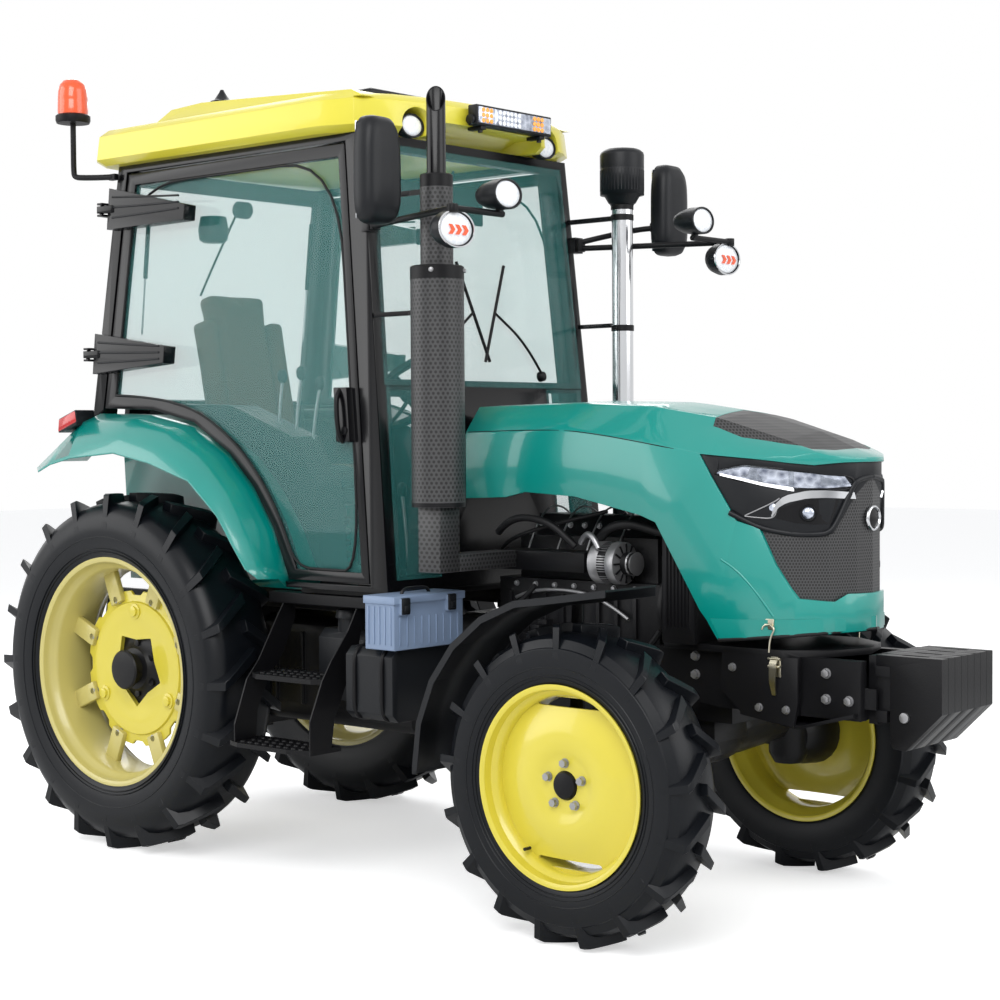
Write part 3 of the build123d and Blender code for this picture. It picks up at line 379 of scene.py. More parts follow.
def strip(lower, upper, side, thick, cuts=14, sunk=0.0015):
    """Thin curved plate between two lines of points, raised from the surface."""
    def along_line(line, t):
        k = min(int(t * (len(line) - 1)), len(line) - 2)
        return line[k].lerp(line[k + 1], t * (len(line) - 1) - k)

    def place(across, along, up):
        low, high = along_line(lower, along), along_line(upper, along)
        run = along_line(lower, min(along + 0.02, 1)) - along_line(lower, max(along - 0.02, 0))
        out = run.cross(high - low).normalized()
        if out.y * side < 0 or (abs(out.y) < 0.2 and out.x < 0):
            out = -out
        return low.lerp(high, across) + out * (up * thick - (1 - up) * sunk)
    return bent_bar(cuts, place)


def hex_bolt(place, direction, across, height):
    """Hexagon head with a washer under it."""
    place, direction = Vector(place), Vector(direction).normalized()
    washer = drum(place, place + direction * height * 0.2, across * 0.68, 20)
    head = drum(place + direction * height * 0.2, place + direction * height, across * 0.577, 6, across * 0.05)
    return merged([washer, head])


# ---------------------------------------------------------------- finishes
class Graph:
    """Short way to lay out a material's nodes."""

    def __init__(self, name):
        self.material = bpy.data.materials.new(name)
        self.material.use_nodes = True
        self.tree = self.material.node_tree
        self.shader = self.tree.nodes["Principled BSDF"]

    def node(self, kind, **settings):
        made = self.tree.nodes.new(kind)
        for key, value in settings.items():
            setattr(made, key, value)
        return made

    def link(self, source, target):
        self.tree.links.new(source, target)

    def maths(self, operation, a, b=None):
        made = self.node("ShaderNodeMath", operation=operation)
        for socket, value in zip(made.inputs, (a, b)):
            if value is None:
                continue
            if isinstance(value, (int, float)):
                socket.default_value = value
            else:
                self.link(value, socket)
        return made.outputs[0]

    def place(self, centre=(0, 0, 0)):
        """Object coordinates measured from a point."""
        where = self.node("ShaderNodeTexCoord").outputs["Object"]
        mapping = self.node("ShaderNodeMapping", vector_type="POINT")
        mapping.inputs["Location"].default_value = [-c for c in centre]
        self.link(where, mapping.inputs["Vector"])
        return mapping.outputs["Vector"]

    def grain(self, scale, strength, detail=3.0):
        """Fine surface relief."""
        noise = self.node("ShaderNodeTexNoise")
        noise.inputs["Scale"].default_value = scale
        noise.inputs["Detail"].default_value = detail
        self.link(self.place(), noise.inputs["Vector"])
        bump = self.node("ShaderNodeBump")
        bump.inputs["Strength"].default_value = strength
        bump.inputs["Distance"].default_value = 0.002
        self.link(noise.outputs["Fac"], bump.inputs["Height"])
        self.link(bump.outputs["Normal"], self.shader.inputs["Normal"])
        return noise.outputs["Fac"]

    def blend(self, factor, first, second):
        """Colour mixed by a factor, fed to the shader's base colour."""
        mix = self.node("ShaderNodeMix", data_type="RGBA")
        mix.inputs["A"].default_value = (*first, 1)
        mix.inputs["B"].default_value = (*second, 1)
        self.link(factor, mix.inputs["Factor"])
        self.link(mix.outputs["Result"], self.shader.inputs["Base Color"])


def plain(name, colour, roughness, metallic=0.0, coat=0.0, grain=(0, 0), shine=0.5):
    """Finish of one colour, with light grain and a slight drift of tone."""
    g = Graph(name)
    g.shader.inputs["Roughness"].default_value = roughness
    g.shader.inputs["Metallic"].default_value = metallic
    g.shader.inputs["Specular IOR Level"].default_value = shine
    g.shader.inputs["Coat Weight"].default_value = coat
    g.shader.inputs["Coat Roughness"].default_value = 0.06
    tone = g.node("ShaderNodeTexNoise")
    tone.inputs["Scale"].default_value = 3.0
    g.link(g.place(), tone.inputs["Vector"])
    g.blend(tone.outputs["Fac"], [c * 0.93 for c in colour], [min(c * 1.07, 1) for c in colour])
    if grain[0]:
        g.grain(*grain)
    return g.material


def see_through(name, colour, alpha, roughness=0.02):
    """Tinted pane that lets most light through."""
    g = Graph(name)
    g.shader.inputs["Roughness"].default_value = roughness
    g.shader.inputs["Alpha"].default_value = alpha
    g.shader.inputs["Specular IOR Level"].default_value = 0.7
    tone = g.node("ShaderNodeTexNoise")
    tone.inputs["Scale"].default_value = 1.2
    g.link(g.place(), tone.inputs["Vector"])
    g.blend(tone.outputs["Fac"], [c * 0.97 for c in colour], colour)
    return g.material


def punched(name, colour, hole, pitch, dot, round_about=None):
    """Sheet with staggered holes: flat in length and height, or wrapped round an upright axis."""
    g = Graph(name)
    g.shader.inputs["Roughness"].default_value = 0.45
    split = g.node("ShaderNodeSeparateXYZ")
    g.link(g.place((*round_about[:2], 0) if round_about else (0, 0, 0)), split.inputs["Vector"])
    x, y, z = split.outputs
    if round_about:
        radius = round_about[2]
        across = g.maths("MULTIPLY", g.maths("ARCTAN2", y, x), radius / pitch)
    else:
        across = g.maths("DIVIDE", g.maths("ADD", y, g.maths("MULTIPLY", x, 0.7)), pitch)
    up = g.maths("DIVIDE", z, pitch)
    holes = None
    for shift in (0.0, 0.5):
        u = g.maths("SUBTRACT", g.maths("FRACT", g.maths("ADD", across, shift)), 0.5)
        v = g.maths("SUBTRACT", g.maths("FRACT", g.maths("ADD", g.maths("MULTIPLY", up, 0.58), shift)), 0.5)
        v = g.maths("MULTIPLY", v, 1.72)
        far = g.maths("SQRT", g.maths("ADD", g.maths("MULTIPLY", u, u), g.maths("MULTIPLY", v, v)))
        inside = g.maths("LESS_THAN", far, dot)
        holes = inside if holes is None else g.maths("MAXIMUM", holes, inside)
    g.blend(holes, colour, hole)
    bump = g.node("ShaderNodeBump", invert=True)
    bump.inputs["Strength"].default_value = 0.6
    bump.inputs["Distance"].default_value = 0.002
    g.link(holes, bump.inputs["Height"])
    g.link(bump.outputs["Normal"], g.shader.inputs["Normal"])
    return g.material


def rear_rim_finish(rim_colour, disc_colour):
    """Cream rim whose bolted disc is bright yellow."""
    g = Graph("rear_rim_and_disc")
    g.shader.inputs["Roughness"].default_value = 0.32
    g.shader.inputs["Coat Weight"].default_value = 0.3
    split = g.node("ShaderNodeSeparateXYZ")
    g.link(g.place((REAR_X, 0, REAR_Z)), split.inputs["Vector"])
    x, _, z = split.outputs
    r2 = g.maths("ADD", g.maths("MULTIPLY", x, x), g.maths("MULTIPLY", z, z))
    inside = g.maths("LESS_THAN", r2, 0.3045 ** 2)
    g.blend(inside, rim_colour, disc_colour)
    return g.material


def lamp_glow(name, colour, strength):
    """Lens with a faint light of its own."""
    g = Graph(name)
    g.shader.inputs["Roughness"].default_value = 0.15
    g.shader.inputs["Emission Color"].default_value = (*colour, 1)
    g.shader.inputs["Emission Strength"].default_value = strength
    cells = g.node("ShaderNodeTexVoronoi")
    cells.inputs["Scale"].default_value = 90.0
    g.link(g.place(), cells.inputs["Vector"])
    g.blend(cells.outputs["Distance"], colour, [min(1, c * 1.3 + 0.1) for c in colour])
    return g.material


def lamp_reflector_painted_reflections(name):
    """Bright faceted reflector behind a clear lens, with painted reflections: its facets run from dark blue to near
    white in colour.
    """
    g = Graph(name)
    g.shader.inputs["Metallic"].default_value = 0.75
    g.shader.inputs["Roughness"].default_value = 0.18
    g.shader.inputs["Coat Weight"].default_value = 1.0
    cells = g.node("ShaderNodeTexVoronoi")
    cells.inputs["Scale"].default_value = 45.0
    g.link(g.place(), cells.inputs["Vector"])
    # painted reflections: each facet's colour runs from dark blue in its middle to near white at its edge, standing
    # in for what the bright metal reflects
    g.blend(cells.outputs["Distance"], (0.08, 0.10, 0.16), (0.75, 0.80, 0.92))
    bump = g.node("ShaderNodeBump")
    bump.inputs["Strength"].default_value = 0.5
    bump.inputs["Distance"].default_value = 0.004
    g.link(cells.outputs["Distance"], bump.inputs["Height"])
    g.link(bump.outputs["Normal"], g.shader.inputs["Normal"])
    return g.material


FINISHES = {}


def mix_finishes(colours):
    """All the tractor's finishes."""
    stack_x, stack_y = REAR_X + STACK[0] / 1000, STACK[1] / 1000
    FINISHES.update({
        "teal": plain("teal_paint", colours.body, 0.28, coat=0.6),
        "lemon": plain("roof_paint", colours.roof, 0.35, coat=0.4),
        "rim_yellow": plain("front_rim_paint", colours.rim, 0.32, coat=0.4),
        "cream": plain("rear_rim_paint", colours.rear_rim, 0.35, coat=0.3),
        "rear_rim": rear_rim_finish(colours.rear_rim, colours.rim),
        "black": plain("black_paint", (0.004, 0.004, 0.005), 0.20, shine=0.28),
        "satin": plain("satin_black", (0.006, 0.006, 0.007), 0.42, grain=(240, 0.08), shine=0.18),
        "cast": plain("black_casting", (0.006, 0.006, 0.007), 0.40, grain=(160, 0.25), shine=0.22),
        "plastic": plain("black_plastic", (0.008, 0.009, 0.011), 0.40, grain=(500, 0.12), shine=0.24),
        "rubber": plain("tyre_rubber", (0.004, 0.005, 0.007), 0.34, grain=(90, 0.1), shine=0.22),
        "box_blue": plain("toolbox_plastic", colours.toolbox, 0.45, grain=(400, 0.1)),
        "chrome": plain("bright_metal", (0.62, 0.63, 0.65), 0.14, metallic=1.0),
        "zinc": plain("zinc_plate", (0.62, 0.58, 0.45), 0.3, metallic=1.0),
        "steel": plain("grey_steel", (0.35, 0.35, 0.36), 0.38, metallic=0.8),
        "glass": see_through("tinted_glass", colours.glass, 0.15),
        "clear": see_through("clear_lens", (0.25, 0.28, 0.32), 0.35),
        "lamp_glass": lamp_reflector_painted_reflections("lamp_reflector_painted_reflections"),
        "bright_white": lamp_glow("day_light", (0.95, 0.97, 1.0), 1.0),
        "grille": punched("nose_mesh", (0.05, 0.05, 0.052), (0.003, 0.003, 0.003), 0.011, 0.34),
        "guard": punched("stack_guard", (0.04, 0.04, 0.042), (0.002, 0.002, 0.002), 0.0165, 0.3,
                         (stack_x, stack_y, 0.091)),
        "neck_guard": punched("neck_guard", (0.04, 0.04, 0.042), (0.002, 0.002, 0.002), 0.0165, 0.3,
                              (stack_x, stack_y, 0.055)),
        "mesh_flat": punched("flat_guard", (0.04, 0.04, 0.042), (0.002, 0.002, 0.002), 0.017, 0.3),
        "orange": plain("beacon_lens", (0.85, 0.10, 0.02), 0.2, coat=0.5),
        "red": plain("tail_lens", (0.5, 0.01, 0.01), 0.2, coat=0.5),
        "amber": lamp_glow("amber_lens", (1.0, 0.32, 0.03), 0.25),
        "white": lamp_glow("white_lens", (0.72, 0.76, 0.82), 0.12),
        "brown": plain("brown_cloth", (0.120, 0.058, 0.038), 0.9, grain=(900, 0.5)),
        "cloth": plain("dark_cloth", (0.028, 0.028, 0.03), 0.9, grain=(900, 0.5)),
        "hose": plain("rubber_hose", (0.008, 0.008, 0.009), 0.5, shine=0.25),
    })


NODE_FINISH = {
    "teal": ("hood_shell", "rear_fenders"),
    "lemon": ("cab_roof",),
    "rim_yellow": ("wheel_front_right", "wheel_front_left"),
    "rear_rim": ("wheel_rear_right", "wheel_rear_left"),
    "rubber": ("tyre_rear_right", "tyre_rear_left", "tyre_front_right", "tyre_front_left"),
    "black": ("cab_frame", "cab_floor", "door_right", "door_left"),
    "satin": ("front_support", "radiator", "steps", "hitch_frame", "exhaust"),
    "cast": ("engine", "transmission", "front_axle", "knuckle_right", "knuckle_left", "front_weights",
             "lift_arms", "lift_rods", "lower_links"),
    "plastic": ("front_fender_right", "front_fender_left", "nose_mask", "dashboard", "side_tanks",
                "air_intake", "mirrors", "lamps", "beacon", "seat"),
    "grille": ("nose_grille",),
    "glass": ("cab_glass", "door_glass_right", "door_glass_left"),
    "clear": ("headlamps",),
    "box_blue": ("toolbox",),
}


# columns: solid, the body it rides on, finish, slot, shading angle, softened edge, least corner that is softened
PANELS = [
    ("hood_shell", "hood", "teal", "body_paint", 38, 0.004, 42),
    ("nose_mask", "hood", "plastic", "black_plastic", 38, 0.003, 42),
    ("cab_roof", "chassis", "lemon", "roof_paint", 42, 0.010, 28),
    ("rear_fenders", "chassis", "teal", "body_paint", 46, 0.0, 60),
    ("cab_frame", "chassis", "black", "black_paint", 35, 0.004, 40),
    ("cab_floor", "chassis", "satin", "black_paint", 35, 0.003, 40),
    ("door_right", "door_right", "black", "black_paint", 35, 0.004, 40),
    ("door_left", "door_left", "black", "black_paint", 35, 0.004, 40),
    ("front_support", "chassis", "satin", "black_paint", 35, 0.003, 40),
    ("front_weights", "chassis", "cast", "cast", 35, 0.003, 40),
    ("front_fender_right", "knuckle_right", "plastic", "black_plastic", 42, 0.0, 60),
    ("front_fender_left", "knuckle_left", "plastic", "black_plastic", 42, 0.0, 60),
    ("toolbox", "chassis", "box_blue", "box_plastic", 35, 0.006, 40),
    ("side_tanks", "chassis", "plastic", "black_plastic", 35, 0.010, 40),
    ("transmission", "chassis", "cast", "cast", 40, 0.006, 42),
    ("engine", "chassis", "cast", "cast", 40, 0.005, 42),
    ("front_axle", "chassis", "cast", "cast", 40, 0.005, 42),
    ("knuckle_right", "knuckle_right", "cast", "cast", 40, 0.004, 42),
    ("knuckle_left", "knuckle_left", "cast", "cast", 40, 0.004, 42),
    ("radiator", "chassis", "satin", "black_paint", 35, 0.002, 40),
]


# ---------------------------------------------------------------- settings
def colour_prop(name, description, default):
    return bpy.props.FloatVectorProperty(
        name=name, description=description, default=default, subtype="COLOR", min=0.0, max=1.0, size=3)


class TractorColours(bpy.types.PropertyGroup):
    body: colour_prop("Body", "Paint of the hood and rear fenders", (0.0, 0.27, 0.23))
    roof: colour_prop("Roof", "Paint of the cab roof", (0.72, 0.64, 0.045))
    rim: colour_prop("Wheels", "Paint of the front rims and rear discs", (0.68, 0.58, 0.055))
    rear_rim: colour_prop("Rear rims", "Paint of the rear rims", (0.56, 0.49, 0.16))
    glass: colour_prop("Glass", "Tint of the panes", (0.10, 0.42, 0.40))
    toolbox: colour_prop("Toolbox", "Plastic of the toolbox", (0.20, 0.27, 0.40))


class TractorFittings(bpy.types.PropertyGroup):
    wheel_bolt: bpy.props.FloatProperty(
        name="Wheel bolt", description="Width across flats of the wheel bolts", default=0.026, unit="LENGTH")
    small_bolt: bpy.props.FloatProperty(
        name="Small bolt", description="Width across flats of the frame bolts", default=0.018, unit="LENGTH")
    lens_length: bpy.props.FloatProperty(
        name="Lens", description="Focal length of the camera", default=69.83, unit="CAMERA")
    floor_size: bpy.props.FloatProperty(
        name="Floor", description="Side of the studio floor", default=60.0, unit="LENGTH")


class Fit:
    """Shared by the operators: a step of the build that can be undone."""
    bl_options = {"REGISTER", "UNDO"}


class TRACTOR_OT_finishes(Fit, bpy.types.Operator):
    """Mixes the finishes and gives every solid of the frame its own"""
    bl_idname = "tractor.finishes"
    bl_label = "Finishes"

    def execute(self, context):
        mix_finishes(context.scene.tractor_colours)
        for finish, names in NODE_FINISH.items():
            for name in names:
                mesh = NODES[name].data
                mesh.materials.clear()
                mesh.materials.append(FINISHES[finish])
        return {"FINISHED"}


def tyre(name, body, centre, side, radius, half_width, rim_r, lugs, lug_height, lug_width):
    """Lug tyre: a turned casing with two hands of swept lugs round it."""
    out = Vector((0, side, 0))
    crown = radius - lug_height
    bulge = rim_r + 0.47 * (crown - rim_r)
    shape = [(-half_width * 0.60, crown - 0.004), (0, crown), (half_width * 0.60, crown - 0.004),
             (half_width * 0.80, crown - 0.016), (half_width * 0.93, crown - 0.042),
             (half_width * 0.985, bulge + 0.45 * (crown - bulge)), (half_width, bulge),
             (half_width * 0.975, rim_r + 0.28 * (crown - rim_r)), (half_width * 0.92, rim_r + 0.012),
             (half_width * 0.885, rim_r + 0.002), (half_width * 0.84, rim_r - 0.004), (0, rim_r + 0.004)]
    shape += [(-along, r) for along, r in shape[-2:2:-1]]
    casing = turned(centre, out, shape, 120, ring=True)
    hollow = [(0.0, crown - 0.001), (0.60, crown - 0.005), (0.80, crown - 0.020), (0.93, crown - 0.050),
              (0.985, bulge + 0.45 * (crown - bulge)), (1.0, bulge)]
    lug_end = bulge + 0.30 * (crown - bulge)
    tread = [(0.0, radius - 0.0006), (0.80, radius - 0.0012), (0.90, radius - 0.005), (0.955, radius - 0.020),
             (0.985, crown - 0.030), (0.998, lug_end)]
    sweep = [(0.0, -0.075 * radius), (0.35, -0.012 * radius), (0.75, 0.060 * radius), (1.0, 0.100 * radius)]

    def place(hand, turn):
        def point(across, along, up):
            reach = -0.075 + 1.068 * along if along < 0.9 else 0.886 + 1.12 * (along - 0.9)
            drop = max(0.0, (along - 0.80) / 0.20)
            flat = min(max(reach, 0.0), 0.998)
            r = eased(tread, flat) if up > 0.5 else eased(hollow, flat) - 0.012
            width = lug_width * (1.35 - 0.30 * along - (0.28 if up > 0.5 else 0.0))
            arc = eased(sweep, along) + (across - 0.5) * width
            r -= 0.0 if up < 0.5 else 0.004 * drop
            angle = turn + arc / radius
            y = hand * half_width * min(reach, 0.997 if up < 0.5 else 1.0)
            return centre + Vector((r * sin(angle), y, r * cos(angle)))
        return point

    bars = []
    for hand in (1, -1):
        first = bent_bar(10, place(hand, 2 * pi * (0.25 if hand > 0 else 0.75) / lugs))
        bars += copies(first, [about_y(centre, 360 * k / lugs) for k in range(1, lugs)])
    ribs = []
    for r, rise in ((bulge - 0.020, 0.0012), (rim_r + 0.018, 0.0030), (rim_r + 0.030, 0.0020)):
        along = half_width * (0.9995 if r > bulge - 0.03 else 0.947 + (r - rim_r - 0.018) * 1.8)
        ribs.append(turned(centre, out, [(along - 0.006, r - 0.003), (along + rise - 0.001, r - 0.0015),
                                         (along + rise - 0.001, r + 0.0015), (along - 0.006, r + 0.003)],
                           120, ring=True))
    piece = done([casing] + bars + ribs, name, body, "rubber", 32)
    bevel = piece.modifiers.new("worn", "BEVEL")
    bevel.width = 0.003
    bevel.segments = 1
    bevel.limit_method = "ANGLE"
    bevel.angle_limit = radians(50)
    only(piece)
    bpy.ops.object.modifier_apply(modifier="worn")
    bpy.ops.object.shade_smooth_by_angle(angle=radians(40))
    return piece


class TRACTOR_OT_tyres(Fit, bpy.types.Operator):
    """Four lug tyres with swept bars"""
    bl_idname = "tractor.tyres"
    bl_label = "Tyres"

    def execute(self, context):
        for name, s in SIDES:
            piece = tyre(f"rear_tyre_{name}", f"wheel_rear_{name}", Vector((REAR_X, s * 0.615, REAR_Z)), s,
                         REAR_R, 0.158, 0.440, 20, 0.034, 0.040)
            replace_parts(piece, f"tyre_rear_{name}")
            piece = tyre(f"front_tyre_{name}", f"wheel_front_{name}", Vector((FRONT_X, s * 0.685, FRONT_Z)), s,
                         FRONT_R, 0.106, 0.317, 17, 0.028, 0.033)
            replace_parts(piece, f"tyre_front_{name}")
        return {"FINISHED"}


class TRACTOR_OT_front_wheels(Fit, bpy.types.Operator):
    """Pressed front wheels with their bolts, caps and valves"""
    bl_idname = "tractor.front_wheels"
    bl_label = "Front wheels"

    def execute(self, context):
        across = context.scene.tractor_fittings.wheel_bolt
        for name, s in SIDES:
            body = f"wheel_front_{name}"
            out = Vector((0, s, 0))
            middle = Vector((FRONT_X, s * 0.685, FRONT_Z))
            rim = turned(middle, out, [
                (0.100, 0.317), (0.1005, 0.308), (0.096, 0.300), (0.084, 0.297), (0.070, 0.295), (0.060, 0.282),
                (0.046, 0.276), (-0.040, 0.272), (-0.056, 0.276), (-0.070, 0.293), (-0.094, 0.298), (-0.0995, 0.308),
                (-0.099, 0.317), (-0.093, 0.316), (-0.088, 0.306), (-0.066, 0.301), (-0.052, 0.284), (-0.036, 0.279),
                (0.040, 0.283), (0.054, 0.288), (0.064, 0.302), (0.086, 0.305), (0.093, 0.316)], 96, ring=True)
            dish = turned(middle, out, [
                (0.036, 0.276), (0.040, 0.262), (0.046, 0.235), (0.056, 0.205), (0.064, 0.178), (0.0665, 0.150),
                (0.0655, 0.112), (0.060, 0.100), (0.057, 0.080), (0.057, 0.046), (0.048, 0.045), (0.048, 0.092),
                (0.056, 0.118), (0.057, 0.150), (0.054, 0.176), (0.046, 0.202), (0.036, 0.232), (0.030, 0.260),
                (0.028, 0.276)], 96, ring=True)
            slots = []
            for edge in (-1, 1):
                slots.append(brick(middle + Vector((-0.125, s * 0.0, edge * 0.252 - 0.012)),
                                   middle + Vector((0.125, s * 0.10, edge * 0.252 + 0.018)), 0.008))
            cutter = merged(slots)
            only(dish)
            cut = dish.modifiers.new("slots", "BOOLEAN")
            cut.object = cutter
            cut.solver = "EXACT"
            bpy.ops.object.modifier_apply(modifier="slots")
            bpy.data.objects.remove(cutter)
            wheel = done([rim, dish], f"front_wheel_{name}", body, "rim_yellow", 40)
            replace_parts(wheel, f"wheel_front_{name}")
            centre = middle + out * 0.0575
            bolt = hex_bolt(centre + Vector((0, 0, 0.070)), out, across * 0.85, 0.018)
            ring = copies(bolt, [about_y(centre, 72 * k) for k in range(1, 5)])
            done(ring, f"front_wheel_bolts_{name}", body, "steel")
            cap = turned(centre - out * 0.030, out, [(0, 0.044), (0.034, 0.044), (0.040, 0.040), (0.043, 0.030),
                                                     (0.045, 0.006)], 40)
            done(cap, f"front_hub_cap_{name}", body, "satin")
            back = turned(middle, out, [(-0.003, 0.090), (0.046, 0.090), (0.048, 0.060)], 40)
            done(back, f"front_hub_back_{name}", body, "cast")
            valve = tube([middle + Vector((-0.150, 0, -0.215)) + out * k for k in (0.050, 0.066, 0.078)], 0.0055)
            done(valve, f"front_valve_{name}", body, "hose")
        return {"FINISHED"}


class TRACTOR_OT_rear_wheels(Fit, bpy.types.Operator):
    """Rear rims, notched discs, hubs and bolts"""
    bl_idname = "tractor.rear_wheels"
    bl_label = "Rear wheels"

    def execute(self, context):
        across = context.scene.tractor_fittings.wheel_bolt
        for name, s in SIDES:
            body = f"wheel_rear_{name}"
            out = Vector((0, s, 0))
            middle = Vector((REAR_X, s * 0.615, REAR_Z))
            rim = turned(middle, out, [
                (0.137, 0.440), (0.1375, 0.430), (0.132, 0.421), (0.118, 0.417), (0.102, 0.413), (0.092, 0.400),
                (0.076, 0.393), (-0.070, 0.388), (-0.090, 0.396), (-0.104, 0.413), (-0.130, 0.419), (-0.1365, 0.430),
                (-0.136, 0.440), (-0.129, 0.439), (-0.124, 0.428), (-0.100, 0.421), (-0.086, 0.404), (-0.066, 0.396),
                (0.070, 0.401), (0.086, 0.407), (0.098, 0.422), (0.120, 0.426), (0.129, 0.438)], 112, ring=True)
            brackets = []
            for k in range(8):
                bracket = brick(middle + Vector((-0.036, -0.016, 0.268)), middle + Vector((0.036, 0.010, 0.402)),
                                0.006)
                bracket.data.transform(about_y(middle, 45 * k + 22.5))
                brackets.append(bracket)
            wheel = done([rim] + brackets, f"rear_rim_{name}", body, "cream", 40)
            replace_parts(wheel, f"wheel_rear_{name}")
            edge = []
            for k in range(8):
                for turn, r in ((-15, 0.303), (-8, 0.305), (0, 0.3055), (8, 0.305), (15, 0.303), (18, 0.286),
                                (22.5, 0.284),
                                (27, 0.286)):
                    a = radians(45 * k + turn + 22.5)
                    edge.append(middle + Vector((r * sin(a), s * -0.016, r * cos(a))))
            disc = outline(edge, out, 0.012, 0.002)
            step = turned(middle, out, [(-0.006, 0.262), (0.004, 0.256), (0.006, 0.200), (0.002, 0.185)], 72)
            star = []
            for k in range(10):
                r = 0.150 if k % 2 else 0.112
                a = radians(36 * k)
                star.append(middle + Vector((r * sin(a), s * -0.05, r * cos(a))))
            cutter = outline(star, out, 0.12, 0.004)
            plates = []
            for plate in (disc, step):
                only(plate)
                cut = plate.modifiers.new("star", "BOOLEAN")
                cut.object = cutter
                cut.solver = "EXACT"
                bpy.ops.object.modifier_apply(modifier="star")
                plates.append(plate)
            bpy.data.objects.remove(cutter)
            done(plates, f"rear_disc_{name}", body, "rim_yellow", 30)
            lug = hex_bolt(middle + Vector((0, 0, 0.283)) + out * -0.004, out, across, 0.020)
            lug.data.transform(about_y(middle, 22.5))
            ring = copies(lug, [about_y(middle, 45 * k) for k in range(1, 8)])
            done(ring, f"rear_disc_bolts_{name}", body, "steel")
            stud = turned(middle + Vector((0, 0, 0.222)) + out * 0.004, out, [
                (0, 0.030), (0.006, 0.030), (0.008, 0.020), (0.016, 0.019), (0.018, 0.012)], 28)
            ring = copies(stud, [about_y(middle, 120 * k) for k in range(1, 3)])
            done(ring, f"rear_disc_buttons_{name}", body, "rim_yellow")
            hub_bolt = hex_bolt(middle + Vector((0, 0, 0.098)) + out * -0.020, out, across, 0.022)
            ring = copies(hub_bolt, [about_y(middle, 60 * k) for k in range(1, 6)])
            done(ring, f"rear_hub_bolts_{name}", body, "cast")
            hub = turned(middle, out, [
                (-0.029, 0.172), (-0.018, 0.172), (-0.016, 0.122), (-0.004, 0.092), (0.014, 0.080), (0.020, 0.060),
                (0.048, 0.058), (0.052, 0.074), (0.062, 0.076), (0.068, 0.070), (0.072, 0.046), (0.073, 0.020)], 40)
            done(hub, f"rear_hub_{name}", body, "cast")
        return {"FINISHED"}


class TRACTOR_OT_sheet_metal(Fit, bpy.types.Operator):
    """Smooth panels, frames and castings over the solids of the frame"""
    bl_idname = "tractor.sheet_metal"
    bl_label = "Panels"

    def execute(self, context):
        for node, body, finish, slot, angle, edge, corner in PANELS:
            recast(node, f"{node}_skin", body, finish, angle, edge, corner)
        return {"FINISHED"}


class TRACTOR_OT_stack(Fit, bpy.types.Operator):
    """Perforated guards, pipe and box shield of the exhaust"""
    bl_idname = "tractor.stack"
    bl_label = "Exhaust stack"

    def execute(self, context):
        foot = at(*STACK, 0)
        up = Vector((0, 0, 1))
        big = turned(foot, up, [(1.341, 0.010), (1.341, 0.0905), (2.118, 0.0905), (2.121, 0.0860), (2.121, 0.010)],
                     72)
        done(big, "stack_guard_skin", "chassis", "guard", 40)
        bands = [turned(foot, up, [(low, 0.0895), (low, 0.0912), (high, 0.0912), (high, 0.0895)], 72, ring=True)
                 for low, high in ((1.342, 1.356), (2.104, 2.146))]
        bands.append(turned(foot, up, [(2.146, 0.090), (2.150, 0.086), (2.150, 0.040), (2.144, 0.040),
                                       (2.144, 0.090)],
                            72, ring=True))
        bands.append(turned(foot, up, [(2.412, 0.0558), (2.452, 0.0558), (2.456, 0.052), (2.456, 0.030),
                                       (2.412, 0.030)],
                            48, ring=True))
        done(bands, "stack_bands", "chassis", "satin", 40)
        small = turned(foot, up, [(2.148, 0.010), (2.148, 0.0555), (2.438, 0.0555), (2.440, 0.040)], 48)
        done(small, "stack_neck_guard", "chassis", "neck_guard", 40)
        facing = radians(-49)
        turns = [2 * pi * k / 48 for k in range(48)]
        loops = [[foot + Vector((r * cos(a), r * sin(a), z if z else 2.709 - 0.048 * cos(a - facing) * r / 0.0325))
                  for a in turns] for r, z in ((0.0325, 2.440), (0.0325, None), (0.029, None), (0.029, 2.56))]
        done(lofted(loops), "stack_pipe", "chassis", "black", 40)
        stays = [brick(at(1425, -572, 1990), at(1550, -560, 2006)), brick(at(1425, -560, 2396), at(1550, -548, 2414))]
        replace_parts(done(stays, "stack_stays", "chassis", "satin"), "exhaust")
        sheets = [brick(at(1500, -610, 1120), at(1600, -510, 1342), 0.003),
                  brick(at(1500, -512, 1120), at(1600, -215, 1178), 0.003)]
        done(sheets, "stack_foot_shield", "chassis", "mesh_flat", 40)
        bolts = [hex_bolt(at(1550 + 91 * cos(a), -560 + 91 * sin(a), 2132), (cos(a), sin(a), 0), 0.012, 0.008)
                 for a in (radians(-60), radians(30), radians(150))]
        done(bolts, "stack_bolts", "chassis", "steel")
        return {"FINISHED"}


